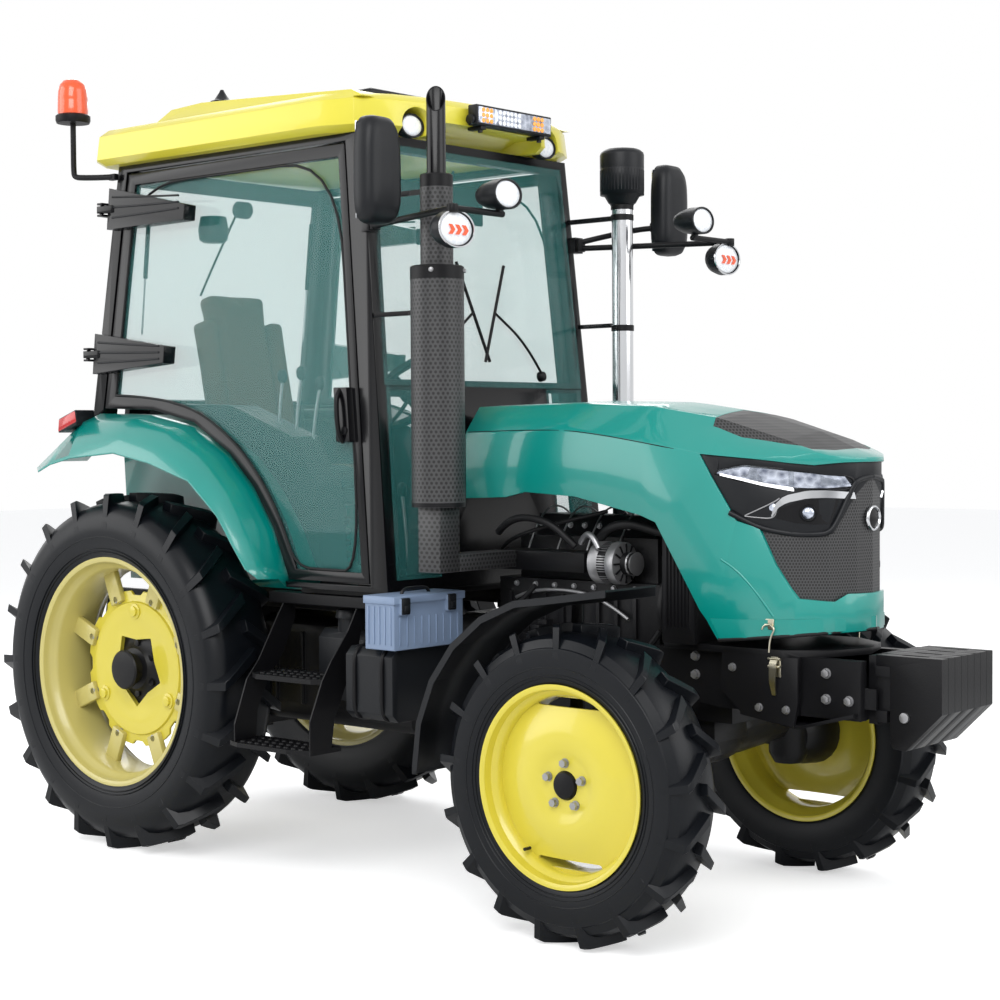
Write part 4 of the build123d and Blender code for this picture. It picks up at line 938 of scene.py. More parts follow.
class TRACTOR_OT_air_intake(Fit, bpy.types.Operator):
    """Ribbed bowl, bright tube and clamps of the air intake"""
    bl_idname = "tractor.air_intake"
    bl_label = "Air intake"

    def execute(self, context):
        foot, up = at(1480, 560, 0), Vector((0, 0, 1))
        bowl = turned(foot, up, [(2.452, 0.040), (2.460, 0.052), (2.484, 0.066), (2.492, 0.078), (2.500, 0.080),
                                 (2.586, 0.080), (2.590, 0.084), (2.640, 0.0845), (2.650, 0.082), (2.660, 0.070),
                                 (2.663, 0.050), (2.663, 0.020)], 64)
        fin = brick(foot + Vector((0.076, -0.0016, 2.504)), foot + Vector((0.0845, 0.0016, 2.584)))
        fins = [fin]
        for k in range(1, 40):
            twin = fin.copy()
            twin.data = fin.data.copy()
            bpy.context.scene.collection.objects.link(twin)
            twin.data.transform(Matrix.Translation(foot) @ Matrix.Rotation(2 * pi * k / 40, 4, "Z")
                                @ Matrix.Translation(-foot))
            fins.append(twin)
        lower = turned(foot, up, [(1.180, 0.041), (1.600, 0.041), (1.612, 0.0425), (1.640, 0.0425), (1.642, 0.038)],
                       48)
        recast("air_intake", "air_intake_skin", "chassis", "plastic", 40, 0.0, 60)
        done([bowl, lower] + fins, "air_intake_bowl", "chassis", "plastic", 40)
        tube_skin = turned(foot, up, [(1.640, 0.0390), (1.640, 0.0408), (2.452, 0.0408), (2.452, 0.0390)], 64,
                           ring=True)
        done(tube_skin, "air_intake_tube", "chassis", "chrome", 40)
        bands = [turned(foot, up, [(z - 0.012, 0.0405), (z - 0.010, 0.0435), (z + 0.010, 0.0435),
                                   (z + 0.012, 0.0405)],
                        64, ring=True) for z in (1.985, 2.405, 2.446)]
        done(bands, "air_intake_clamps", "chassis", "satin", 40)
        return {"FINISHED"}


class TRACTOR_OT_beacon(Fit, bpy.types.Operator):
    """Orange rotating beacon on its bent arm"""
    bl_idname = "tractor.beacon"
    bl_label = "Beacon"

    def execute(self, context):
        foot, up = at(-345, -623, 0), Vector((0, 0, 1))
        base = turned(foot, up, [(2.822, 0.020), (2.824, 0.064), (2.834, 0.068), (2.852, 0.068), (2.858, 0.060)], 48)
        arm = tube([at(-345, -623, 2826), at(-345, -623, 2740), at(-345, -623, 2640), at(-341, -622, 2612),
                    at(-300, -612, 2607), at(-220, -588, 2603), at(-158, -574, 2601)], 0.0115, 9)
        foot_plate = brick(at(-178, -583, 2588), at(-140, -561.5, 2613), 0.003)
        piece = done([base, arm, foot_plate], "beacon_base", "chassis", "satin", 40)
        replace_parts(piece, "beacon")
        dome = turned(foot, up, [(2.853, 0.058), (2.870, 0.0595), (2.905, 0.0590), (2.910, 0.0575), (2.915, 0.0585),
                                 (2.948, 0.0565), (2.974, 0.0505), (2.990, 0.038), (2.997, 0.018), (2.998,
                                                                                                    0.004)], 56)
        done(dome, "beacon_dome", "chassis", "orange", 50)
        return {"FINISHED"}


class TRACTOR_OT_nose(Fit, bpy.types.Operator):
    """Head lamps, bright strips, fog lamps, badge ring and latches of the nose"""
    bl_idname = "tractor.nose"
    bl_label = "Nose"

    def execute(self, context):
        for name, s in SIDES:
            lens = strip(nose([(2500, 1456), (2600, 1441), (2700, 1420), (2760, 1412), (2823, 1411), (2864, 1416)],
                              s, 1),
                         nose([(2502, 1462), (2590, 1479), (2700, 1467), (2760, 1460), (2823, 1450), (2852, 1446)],
                              s, 1),
                         s, 0.003)
            done(lens, f"head_lamp_lens_{name}", "hood", "lamp_glass", 50)
            light = strip(nose([(2512, 1450), (2580, 1436), (2650, 1419), (2741, 1404)], s, 3),
                          nose([(2512, 1457), (2580, 1444), (2650, 1428), (2741, 1413)], s, 3), s, 0.004)
            done(light, f"day_light_{name}", "hood", "bright_white", 50)
            rim = tube(nose([(2490, 1457), (2540, 1474), (2590, 1484), (2700, 1472), (2780, 1462), (2862, 1449),
                             (2872, 1425), (2866, 1407), (2823, 1403), (2760, 1404), (2650, 1418), (2560, 1438),
                             (2490, 1457)], s, 1), 0.0035)
            done(rim, f"head_lamp_rim_{name}", "hood", "black", 50)
            brow = strip(nose([(2680, 1322), (2697, 1350), (2722, 1366), (2774, 1380), (2820, 1381), (2868, 1377)],
                              s, 2),
                         nose([(2676, 1324), (2688, 1362), (2715, 1388), (2774, 1404), (2820, 1404), (2868, 1398)],
                              s, 2),
                         s, 0.005)
            done(brow, f"lamp_brow_{name}", "hood", "chrome", 50)
            pocket = strip(nose([(2690, 1318), (2740, 1304), (2790, 1299), (2828, 1300)], s, 1),
                           nose([(2700, 1346), (2740, 1366), (2790, 1377), (2842, 1374)], s, 1), s, 0.001)
            done(pocket, f"fog_pocket_{name}", "hood", "black", 50)
            line = tube(nose([(2595, 1325), (2640, 1346), (2684, 1368), (2700, 1380)], s, 2), 0.0022)
            low = tube(nose([(2595, 1323), (2640, 1318), (2684, 1317), (2692, 1345)], s, 2), 0.0022)
            done([line, low], f"reflector_line_{name}", "hood", "steel", 50)
            spot, out = touch("nose_mask", at(2775, s * 600, 1334), (0, -s, 0))
            fog = turned(spot, out, [(-0.004, 0.027), (0.006, 0.027), (0.009, 0.024), (0.007, 0.021),
                                     (0.002, 0.021)], 36)
            done(fog, f"fog_lamp_rim_{name}", "hood", "satin", 50)
            eye = turned(spot + out * 0.003, out, [(0, 0.020), (0.005, 0.018), (0.009, 0.010), (0.010, 0.002)], 32)
            done(eye, f"fog_lamp_{name}", "hood", "lamp_glass", 50)
            spot, out = touch("nose_mask", at(2681, s * 600, 1350), (0, -s, 0))
            eye = turned(spot, out, [(-0.002, 0.013), (0.003, 0.012), (0.006, 0.004)], 28)
            done(eye, f"side_reflector_{name}", "hood", "lamp_glass", 50)
            jaw = tube(nose([(2545, 1334), (2580, 1316), (2640, 1288), (2690, 1276), (2740, 1268), (2790, 1267),
                             (2826, 1272), (2840, 1310), (2858, 1380), (2868, 1420), (2876, 1438)], s, 1)
                       + [at(2884, 0, 1444)], 0.009, 9)
            done(jaw, f"mask_edge_{name}", "hood", "plastic", 60)
            band = strip(nose([(2512, 934), (2600, 942), (2680, 950), (2740, 956), (2800, 961), (2850, 965)], s, 0)
                         + [at(2894, 0, 968)],
                         nose([(2478, 996), (2600, 999), (2680, 1001), (2740, 1003), (2800, 1005), (2850, 1006)], s,
                              0)
                         + [at(2894, 0, 1007)], s, 0.0035, 30)
            done(band, f"skirt_band_{name}", "hood", "teal", 50)
            trim = tube(nose([(2506, 930), (2600, 939), (2680, 947), (2740, 953), (2800, 959), (2850, 963)], s, 1)
                        + [at(2896, 0, 966)], 0.006)
            done(trim, f"skirt_trim_{name}", "hood", "hose", 60)
            crease = tube(nose([(2514, 1186), (2560, 1160), (2610, 1114), (2655, 1055), (2684, 1010)], s, -1.5),
                          0.0045)
            done(crease, f"skirt_crease_{name}", "hood", "teal", 60)
            seam = tube(nose([(1448, 1592), (1600, 1596), (1875, 1598), (2040, 1580), (2200, 1556), (2330, 1535),
                              (2440, 1517)], s, -0.4), 0.0018)
            done(seam, f"hood_seam_{name}", "hood", "satin", 60)
            foot = on_skin(("hood_shell",), 2672, 982, s)
            skew = Vector((0.2, s, 0)).normalized()
            hook = brick(foot + Vector((-0.018, -0.004, -0.012)), foot + Vector((0.018, 0.004, 0.022)), 0.002)
            hook = merged([hook, drum(foot + Vector((-0.012, s * 0.004, 0.004)),
                                      foot + Vector((0.012, s * 0.010, 0.004)),
                                      0.004, 16)])
            top = foot + skew * 0.010
            bail = tube([top + Vector((-0.022, 0, -0.012)), top + Vector((-0.020, 0, -0.004)),
                         top + Vector((-0.008, 0, 0.004)),
                         top + Vector((0.008, 0, 0.004)), top + Vector((0.020, 0, -0.004)), top + Vector((0.022, 0,
                                                                                                          -0.012)),
                         top + Vector((0.004, 0, -0.045)), top + Vector((0.003, 0, -0.082))], 0.0030)
            done([hook, bail], f"latch_bail_{name}", "hood", "zinc")
            base = on_skin(("front_support",), 2681, 850, s)
            body_plate = brick(base + Vector((-0.020, -0.003, -0.030)), base + Vector((0.020, 0.003, 0.030)), 0.002)
            lever = strip([base + Vector((-0.012, s * 0.004, 0.032)), base + Vector((-0.012, s * 0.018, 0.010)),
                           base + Vector((-0.010, s * 0.020, -0.040)), base + Vector((-0.006, s * 0.008, -0.085))],
                          [base + Vector((0.014, s * 0.004, 0.032)), base + Vector((0.014, s * 0.018, 0.010)),
                           base + Vector((0.012, s * 0.020, -0.040)), base + Vector((0.006, s * 0.008,
                                                                                     -0.085))], s, 0.004)
            pins = [drum(base + Vector((-0.022, s * 0.010, z)), base + Vector((0.022, s * 0.010, z)), 0.0045, 16,
                         0.001)
                    for z in (0.028, 0.004)]
            done([body_plate, lever] + pins, f"latch_lever_{name}", "chassis", "zinc")
        spot, out = touch("nose_grille", at(3200, 0, 1314), (-1, 0, 0))
        ring = turned(spot, (1, 0, 0), [(0.000, 0.040), (0.006, 0.040), (0.009, 0.037), (0.009, 0.034),
                                        (0.004, 0.031),
                                        (0.000, 0.031)], 56, ring=True)
        done(ring, "badge_ring", "hood", "chrome", 50)
        plate = turned(spot, (1, 0, 0), [(-0.001, 0.0325), (0.003, 0.0320), (0.005, 0.020), (0.0055, 0.002)], 48)
        done(plate, "badge_plate", "hood", "black", 50)
        return {"FINISHED"}


def windshield_x(z):
    """Place of the windshield at a height, along the tractor from the rear axle."""
    return 1352 - 152 * (z - 1040) / 1600


def rear_window_x(z):
    """Place of the rear window at a height, along the tractor from the rear axle."""
    return -290 + 150 * (z - 1640) / 1000


class TRACTOR_OT_cab_fittings(Fit, bpy.types.Operator):
    """Wheel, column, levers, visor, wipers, struts and handles of the cab"""
    bl_idname = "tractor.cab_fittings"
    bl_label = "Cab fittings"

    def execute(self, context):
        hub, lean = at(900, 0, 1738), Vector((-0.72, 0, 0.694))
        deselect()
        bpy.ops.mesh.primitive_torus_add(major_radius=0.178, minor_radius=0.0115, major_segments=72,
                                         minor_segments=12,
                                         location=hub + lean * 0.014, rotation=turn_to(lean))
        rim = settle(bpy.context.active_object)
        boss = turned(hub, lean, [(-0.02, 0.03), (0, 0.045), (0.016, 0.042), (0.020, 0.030), (0.021, 0.004)], 32)
        spokes = []
        cross = Vector((0, 1, 0))
        rise = lean.cross(cross)
        for a in (90, 210, 330):
            way = cross * cos(radians(a)) + rise * sin(radians(a))
            spokes.append(tube([hub + way * 0.03, hub + way * 0.10 - lean * 0.004, hub + way * 0.174 + lean * 0.012],
                               0.008))
        column = drum(at(1110, 0, 1530), hub - lean * 0.01, 0.034, 24, 0.004)
        cover = turned(at(1120, 0, 1500), Vector((-0.72, 0, 0.694)),
                       [(0, 0.085), (0.06, 0.080), (0.12, 0.060), (0.20, 0.045)],
                       28)
        done([rim, boss, column, cover] + spokes, "steering_wheel", "chassis", "plastic", 50)
        cluster = brick(at(1085, -150, 1600), at(1200, 150, 1720), 0.018)
        screen = brick(at(1080, -120, 1625), at(1090, 120, 1700), 0.004)
        done([cluster, screen], "instrument_hood", "chassis", "plastic")
        levers = []
        knobs = []
        for x, y, z, dx, top in ((620, -340, 1590, 30, 1800), (540, -352, 1620, 20, 1790),
                                 (700, -330, 1560, 40, 1760),
                                 (640, 345, 1590, 30, 1780), (960, 60, 1060, -20, 1500), (960, -90, 1060, -30, 1360)):
            levers.append(tube([at(x, y, z), at(x + dx / 3, y, (z + top) / 2), at(x + dx, y, top)], 0.006))
            knobs.append(turned(at(x + dx, y, top - 8), (0, 0, 1), [(0, 0.008), (0.012, 0.017), (0.034, 0.019),
                                                                   (0.048, 0.013), (0.052, 0.003)], 20))
        done(levers, "cab_levers", "chassis", "steel", 50)
        done(knobs, "cab_lever_knobs", "chassis", "plastic", 50)
        visor = brick(at(1035, -250, 2380), at(1048, 250, 2520), 0.006)
        done(visor, "sun_visor", "chassis", "plastic")
        fan = turned(at(150, -330, 2440), (0, 0, -1), [(0, 0.05), (0.05, 0.06), (0.09, 0.055), (0.1, 0.04)], 32)
        done(fan, "cab_speaker", "chassis", "plastic", 50)
        mirror = brick(at(1010, -90, 2290), at(1022, 90, 2350), 0.005)
        stem = tube([at(1020, 0, 2345), at(1050, 0, 2400), at(1120, 0, 2560)], 0.006)
        done([mirror, stem], "inside_mirror", "chassis", "plastic")
        wipers = []
        z0 = 1800
        for y0, y1 in ((-300, -60), (300, 60)):
            wipers.append(turned(at(windshield_x(z0) + 4, y0, z0), (1, 0, 0.095),
                                 [(0, 0.020), (0.018, 0.018), (0.024, 0.010)], 20))
            wipers.append(tube([at(windshield_x(z0) + 20, y0, z0),
                                at(windshield_x(1920) + 18, (y0 * 2 + y1) / 3, 1920),
                                at(windshield_x(2030) + 12, y1, 2030)], 0.005))
            wipers.append(tube([at(windshield_x(1850) + 9, y1 + (y1 - y0) * 0.30, 1850),
                                at(windshield_x(2030) + 9, y1, 2030),
                                at(windshield_x(2210) + 9, y1 - (y1 - y0) * 0.30, 2210)], 0.006))
        done(wipers, "windscreen_wipers", "chassis", "satin", 50)
        struts = []
        rods = []
        for y in (-440, 440):
            struts.append(drum(at(rear_window_x(2480) + 60, y, 2490), at(rear_window_x(2200) + 70, y, 2210), 0.009,
                               16, 0.001))
            rods.append(drum(at(rear_window_x(2200) + 70, y, 2215), at(rear_window_x(1980) + 78, y, 1990), 0.004, 12))
        done(struts, "rear_window_struts", "chassis", "satin", 50)
        done(rods, "rear_window_rods", "chassis", "chrome", 50)
        arm = [turned(at(rear_window_x(2520) + 40, 40, 2520), (1, 0, -0.15),
                      [(0, 0.035), (0.05, 0.035), (0.06, 0.025)], 24),
               tube([at(rear_window_x(2500) + 34, 40, 2510), at(rear_window_x(2300) + 34, -60, 2300),
                     at(rear_window_x(2160) + 34, -120, 2160)], 0.005)]
        done(arm, "rear_wiper", "chassis", "satin", 50)
        for name, s in SIDES:
            def side(x, z, out, s=s):
                y = 606 - 46 * (z - 1063) / 1569
                return at(x, s * (y + out), z)
            grip = tube([side(1150, 1560, 22), side(1150, 1575, 44), side(1142, 1650, 50), side(1134, 1725, 44),
                         side(1132, 1742, 22)], 0.009, 9)
            bolt = turned(side(1160, 1600, 26), (0, s, 0), [(0, 0.014), (0.006, 0.014), (0.008, 0.010)], 20)
            done([grip, bolt], f"door_grip_{name}", f"door_{name}", "satin", 50)
            seal = tube([side(a, z, -2) for a, z in ((-146, 1746), (100, 1734), (352, 1680), (566, 1556), (706, 1422),
                                                     (812, 1274), (890, 1112), (1056, 1110), (1218, 1110), (1150,
                                                                                                            1836),
                                                     (1082, 2556), (520, 2556), (-36, 2556), (-91, 2150), (-146,
                                                                                                           1746))],
                        0.005)
            done(seal, f"door_seal_{name}", f"door_{name}", "hose", 60)
            ribs = []
            for z, x0, x1 in ((1905, -180, 236), (2464, -100, 340)):
                for dz in (-40, 0, 40):
                    ribs.append(tube([side(x0 + 20, z + dz + 6, 78), side((x0 + x1) / 2, z + dz * 0.8, 79),
                                     side(x1 - 24, z + dz * 0.6 - 4, 78)], 0.004))
            done(ribs, f"hinge_cover_ribs_{name}", f"door_{name}", "plastic", 60)
        return {"FINISHED"}


class TRACTOR_OT_seat(Fit, bpy.types.Operator):
    """Driver's seat with padded cushion, back and arm rests"""
    bl_idname = "tractor.seat"
    bl_label = "Seat"

    def execute(self, context):
        base = [brick(at(90, -150, 1046), at(400, 150, 1300), 0.012),
                brick(at(40, -190, 1300), at(440, 190, 1372), 0.018)]
        for k in range(4):
            base.append(brick(at(78, -158, 1090 + 46 * k), at(412, 158, 1116 + 46 * k), 0.010))
        frame_piece = done(base, "seat_base", "chassis", "plastic")
        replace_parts(frame_piece, "seat")
        lean = Matrix.Translation(at(30, 0, 1440)) @ Matrix.Rotation(radians(-12), 4,
                                                                     "Y") @ Matrix.Translation(-at(30, 0, 1440))
        pads = (
            ("seat_cushion", (0, -170, 1378), (455, 170, 1452), None, "cloth", 0.022),
            ("seat_bolster_right", (20, -222, 1380), (440, -160, 1466), None, "brown", 0.020),
            ("seat_bolster_left", (20, 160, 1380), (440, 222, 1466), None, "brown", 0.020),
            ("seat_back", (-20, -150, 1440), (70, 150, 2172), lean, "brown", 0.024),
            ("seat_back_wing_right", (-10, -212, 1470), (92, -140, 2060), lean, "brown", 0.024),
            ("seat_back_wing_left", (-10, 140, 1470), (92, 212, 2060), lean, "brown", 0.024),
        )
        for name, low, high, turn, finish, edge in pads:
            pad = brick(at(*low), at(*high), edge)
            if turn:
                pad.data.transform(turn)
            only(pad)
            remesh = pad.modifiers.new("skin", "REMESH")
            remesh.mode = "VOXEL"
            remesh.voxel_size = 0.006
            bpy.ops.object.modifier_apply(modifier="skin")
            swell(pad, 0.012)
            only(pad)
            smooth = pad.modifiers.new("smooth", "SUBSURF")
            smooth.levels = 1
            bpy.ops.object.modifier_apply(modifier="smooth")
            done(pad, name, "chassis", finish, 60)
        arms = []
        for s in (-1, 1):
            arms.append(brick(at(30, s * 238, 1650), at(320, s * 278, 1694), 0.014))
            arms.append(brick(at(-40, s * 210, 1600), at(50, s * 246, 1694), 0.012))
        done(arms, "seat_arm_rests", "chassis", "plastic", 50)
        return {"FINISHED"}


def swell(pad, cap):
    """Fills a pad by a short cloth simulation and keeps each point within the cap."""
    start = [v.co.copy() for v in pad.data.vertices]
    only(pad)
    cloth = pad.modifiers.new("fill", "CLOTH")
    cloth.settings.use_pressure = True
    cloth.settings.uniform_pressure_force = 4.0
    cloth.settings.effector_weights.gravity = 0.0
    scene = bpy.context.scene
    for frame_number in range(1, 15):
        scene.frame_set(frame_number)
    bpy.ops.object.modifier_apply(modifier="fill")
    for vertex, before in zip(pad.data.vertices, start):
        moved = vertex.co - before
        if moved.length > cap:
            vertex.co = before + moved * (cap / moved.length)
    scene.frame_set(1)
    pad.data.update()


class TRACTOR_OT_engine_bay(Fit, bpy.types.Operator):
    """Hoses, pipes, alternator, pulleys and bolts round the engine"""
    bl_idname = "tractor.engine_bay"
    bl_label = "Engine bay"

    def execute(self, context):
        hoses = [
            tube([at(2196, -60, 1180), at(2230, -90, 1230), at(2270, -110, 1300), at(2287, -120, 1330)], 0.026, 12),
            tube([at(2196, 90, 760), at(2230, 120, 800), at(2270, 150, 940), at(2287, 150, 980)], 0.028, 12),
            tube([at(1900, -180, 1150), at(1960, -210, 1250), at(2080, -215, 1290), at(2180, -190, 1262),
                  at(2285, -180, 1240)],
                 0.016, 9),
            tube([at(1530, -230, 1240), at(1600, -250, 1300), at(1760, -240, 1290), at(1850, -200, 1200)], 0.013, 9),
            tube([at(1500, -180, 900), at(1560, -220, 960), at(1640, -230, 1010), at(1690, -222, 1060)], 0.009, 9),
            tube([at(1720, -195, 760), at(1850, -215, 720), at(2000, -215, 740), at(2120, -200, 820),
                  at(2200, -190, 930)],
                 0.010, 9),
            tube([at(1480, -150, 1180), at(1540, -200, 1210), at(1700, -210, 1260), at(1950, -150, 1320)], 0.007, 9),
        ]
        done(hoses, "engine_hoses", "chassis", "hose", 60)
        pipes = []
        for k in range(4):
            x = 1620 + 130 * k
            pipes.append(tube([at(x, 60, 1298), at(x, 20, 1330), at(x - 10, -60, 1326), at(x - 20, -120, 1240),
                               at(x - 20, -150, 1180)], 0.0035))
        pipes.append(tube([at(1560, -170, 1010), at(1640, -190, 1040), at(1800, -190, 1050), at(1950, -185, 1030),
                           at(2060, -180, 960)], 0.006, 9))
        pipes.append(tube([at(1900, -230, 1215), at(1935, -250, 1250), at(1975, -262, 1240), at(2000, -262, 1200)],
                          0.011, 12))
        done(pipes, "engine_pipes", "chassis", "steel", 60)
        middle = at(2014, -205, 1150)
        ahead = Vector((1, 0, 0))
        face = turned(middle, ahead, [(-0.056, 0.050), (-0.054, 0.071), (-0.020, 0.0725), (-0.016, 0.070),
                                      (0.018, 0.070),
                                      (0.022, 0.0725), (0.052, 0.071), (0.056, 0.060), (0.058, 0.030)], 48)
        done(face, "alternator_case", "chassis", "steel", 40)
        fins = []
        first = brick(middle + Vector((0.030, -0.003, 0.040)), middle + Vector((0.0595, 0.003, 0.066)))
        for k in range(12):
            twin = first.copy()
            twin.data = first.data.copy()
            bpy.context.scene.collection.objects.link(twin)
            twin.data.transform(Matrix.Translation(middle) @ Matrix.Rotation(radians(30 * k), 4, "X")
                                @ Matrix.Translation(-middle))
            fins.append(twin)
        bpy.data.objects.remove(first)
        done(fins, "alternator_fins", "chassis", "satin", 40)
        wheels = [turned(at(2106, -205, 1150), ahead, [(-0.012, 0.034), (-0.010, 0.040), (-0.003, 0.034),
                                                       (0.003, 0.034),
                                                       (0.010, 0.040), (0.012, 0.034)], 40),
                  turned(at(2205, 0, 760), ahead, [(-0.014, 0.078), (-0.010, 0.086), (-0.003, 0.078), (0.003, 0.078),
                                                   (0.010, 0.086), (0.014, 0.078)], 56)]
        done(wheels, "belt_pulleys", "chassis", "steel", 40)
        fan = turned(at(2200, 0, 1000), ahead, [(0, 0.06), (0.03, 0.055), (0.034, 0.02)], 36)
        done(fan, "fan_hub", "chassis", "satin", 40)
        bolts = []
        for k in range(8):
            bolts.append(hex_bolt(at(1600 + 64 * k, -70, 1264), (0, -0.97, 0.22), 0.016, 0.010))
        for k in range(7):
            bolts.append(hex_bolt(at(1560 + 86 * k, -165, 1060), (0, -1, 0), 0.015, 0.010))
        for k in range(6):
            bolts.append(hex_bolt(at(1600 + 90 * k, -135, 620), (0, -1, 0), 0.014, 0.009))
        done(bolts, "engine_bolts", "chassis", "steel")
        can = turned(at(1700, -225, 0), (0, 0, 1), [(0.768, 0.030), (0.772, 0.046), (0.884, 0.0465), (0.896, 0.044),
                                                    (0.902, 0.030)], 40)
        done(can, "oil_filter", "chassis", "satin", 40)
        clips = [turned(at(1200 + 20 * k, s * 345, 1030), (0, 0, 1), [(0, 0.006), (0.01, 0.006)], 12)
                 for s in (-1, 1) for k in range(3)]
        done(clips, "floor_studs", "chassis", "steel")
        return {"FINISHED"}


class TRACTOR_OT_side_gear(Fit, bpy.types.Operator):
    """Latches of the toolbox, step treads, tank caps and weight bolts"""
    bl_idname = "tractor.side_gear"
    bl_label = "Side equipment"

    def execute(self, context):
        clasps = []
        for y in (-680, -450):
            clasps.append(brick(at(1494, y - 20, 982), at(1512, y + 20, 1038), 0.005))
            clasps.append(brick(at(1508, y - 12, 990), at(1517, y + 12, 1012), 0.003))
        clasps.append(tube([at(1430, -620, 1044), at(1430, -615, 1056), at(1430, -590, 1062), at(1430, -515, 1062),
                            at(1430, -490, 1056), at(1430, -485, 1044)], 0.006, 9))
        done(clasps, "toolbox_latches", "chassis", "plastic")
        ribs = []
        for k in range(5):
            x = 1372 + 26 * k
            ribs.append(brick(at(x, -728, 880), at(x + 6, -724, 1008), 0.001))
        for k in range(9):
            y = -700 + 36 * k
            ribs.append(brick(at(1494, y, 876), at(1498, y + 6, 972), 0.001))
        done(ribs, "toolbox_ribs", "chassis", "box_blue")
        for name, s in SIDES:
            treads = []
            for z, y0, y1, x0, x1 in ((739, 590, 730, 800, 1130), (499, 665, 800, 770, 1130)):
                for i in range(9):
                    for j in range(3):
                        x = x0 + 30 + (x1 - x0 - 60) * i / 8
                        y = y0 + 20 + (y1 - y0 - 40) * j / 2
                        treads.append(turned(at(x, s * y, z), (0, 0, 1),
                                             [(-0.002, 0.013), (0.003, 0.011), (0.0045, 0.008),
                                                                          (0.0035, 0.006)], 12))
            done(treads, f"step_treads_{name}", "chassis", "satin", 50)
            cap = turned(at(1350, s * 560, 862), (0, 0, 1),
                         [(0, 0.055), (0.022, 0.055), (0.026, 0.050), (0.028, 0.012)], 36)
            done(cap, f"tank_cap_{name}", "chassis", "satin")
            straps = []
            for x in (1285, 1415):
                straps.append(tube([at(x, s * 262, 866), at(x, s * 560, 866), at(x, s * 672, 866),
                                    at(x, s * 704, 834),
                                    at(x, s * 704, 740), at(x, s * 704, 640), at(x, s * 672, 610), at(x, s * 560,
                                                                                                      610)],
                                   0.008, 6))
            done(straps, f"tank_straps_{name}", "chassis", "satin", 50)
            bolts = [hex_bolt(at(x, s * 200, z), (0, s, 0), 0.024, 0.014)
                     for x, z in ((1980, 840), (2080, 840), (2350, 800), (2350, 860), (2840, 760), (2920, 760),
                                  (2840, 840))]
            bolts += [hex_bolt(at(x, s * 240, z), (0, s, 0), 0.020, 0.012) for x,
                      z in ((2520, 840), (2620, 720), (2720, 720))]
            done(bolts, f"frame_bolts_{name}", "chassis", "steel")
            rod = drum(at(3090, s * 160, 720), at(3090, s * 172, 720), 0.016, 24, 0.003)
            done(rod, f"weight_rod_end_{name}", "chassis", "steel")
            knuckle_bolts = []
            for k in range(6):
                a = radians(60 * k)
                knuckle_bolts.append(hex_bolt(at(2240 + 88 * sin(a), s * 590, 500 + 88 * cos(a)), (0, s, 0), 0.018,
                                              0.01))
            done(knuckle_bolts, f"knuckle_bolts_{name}", f"knuckle_{name}", "steel")
        return {"FINISHED"}


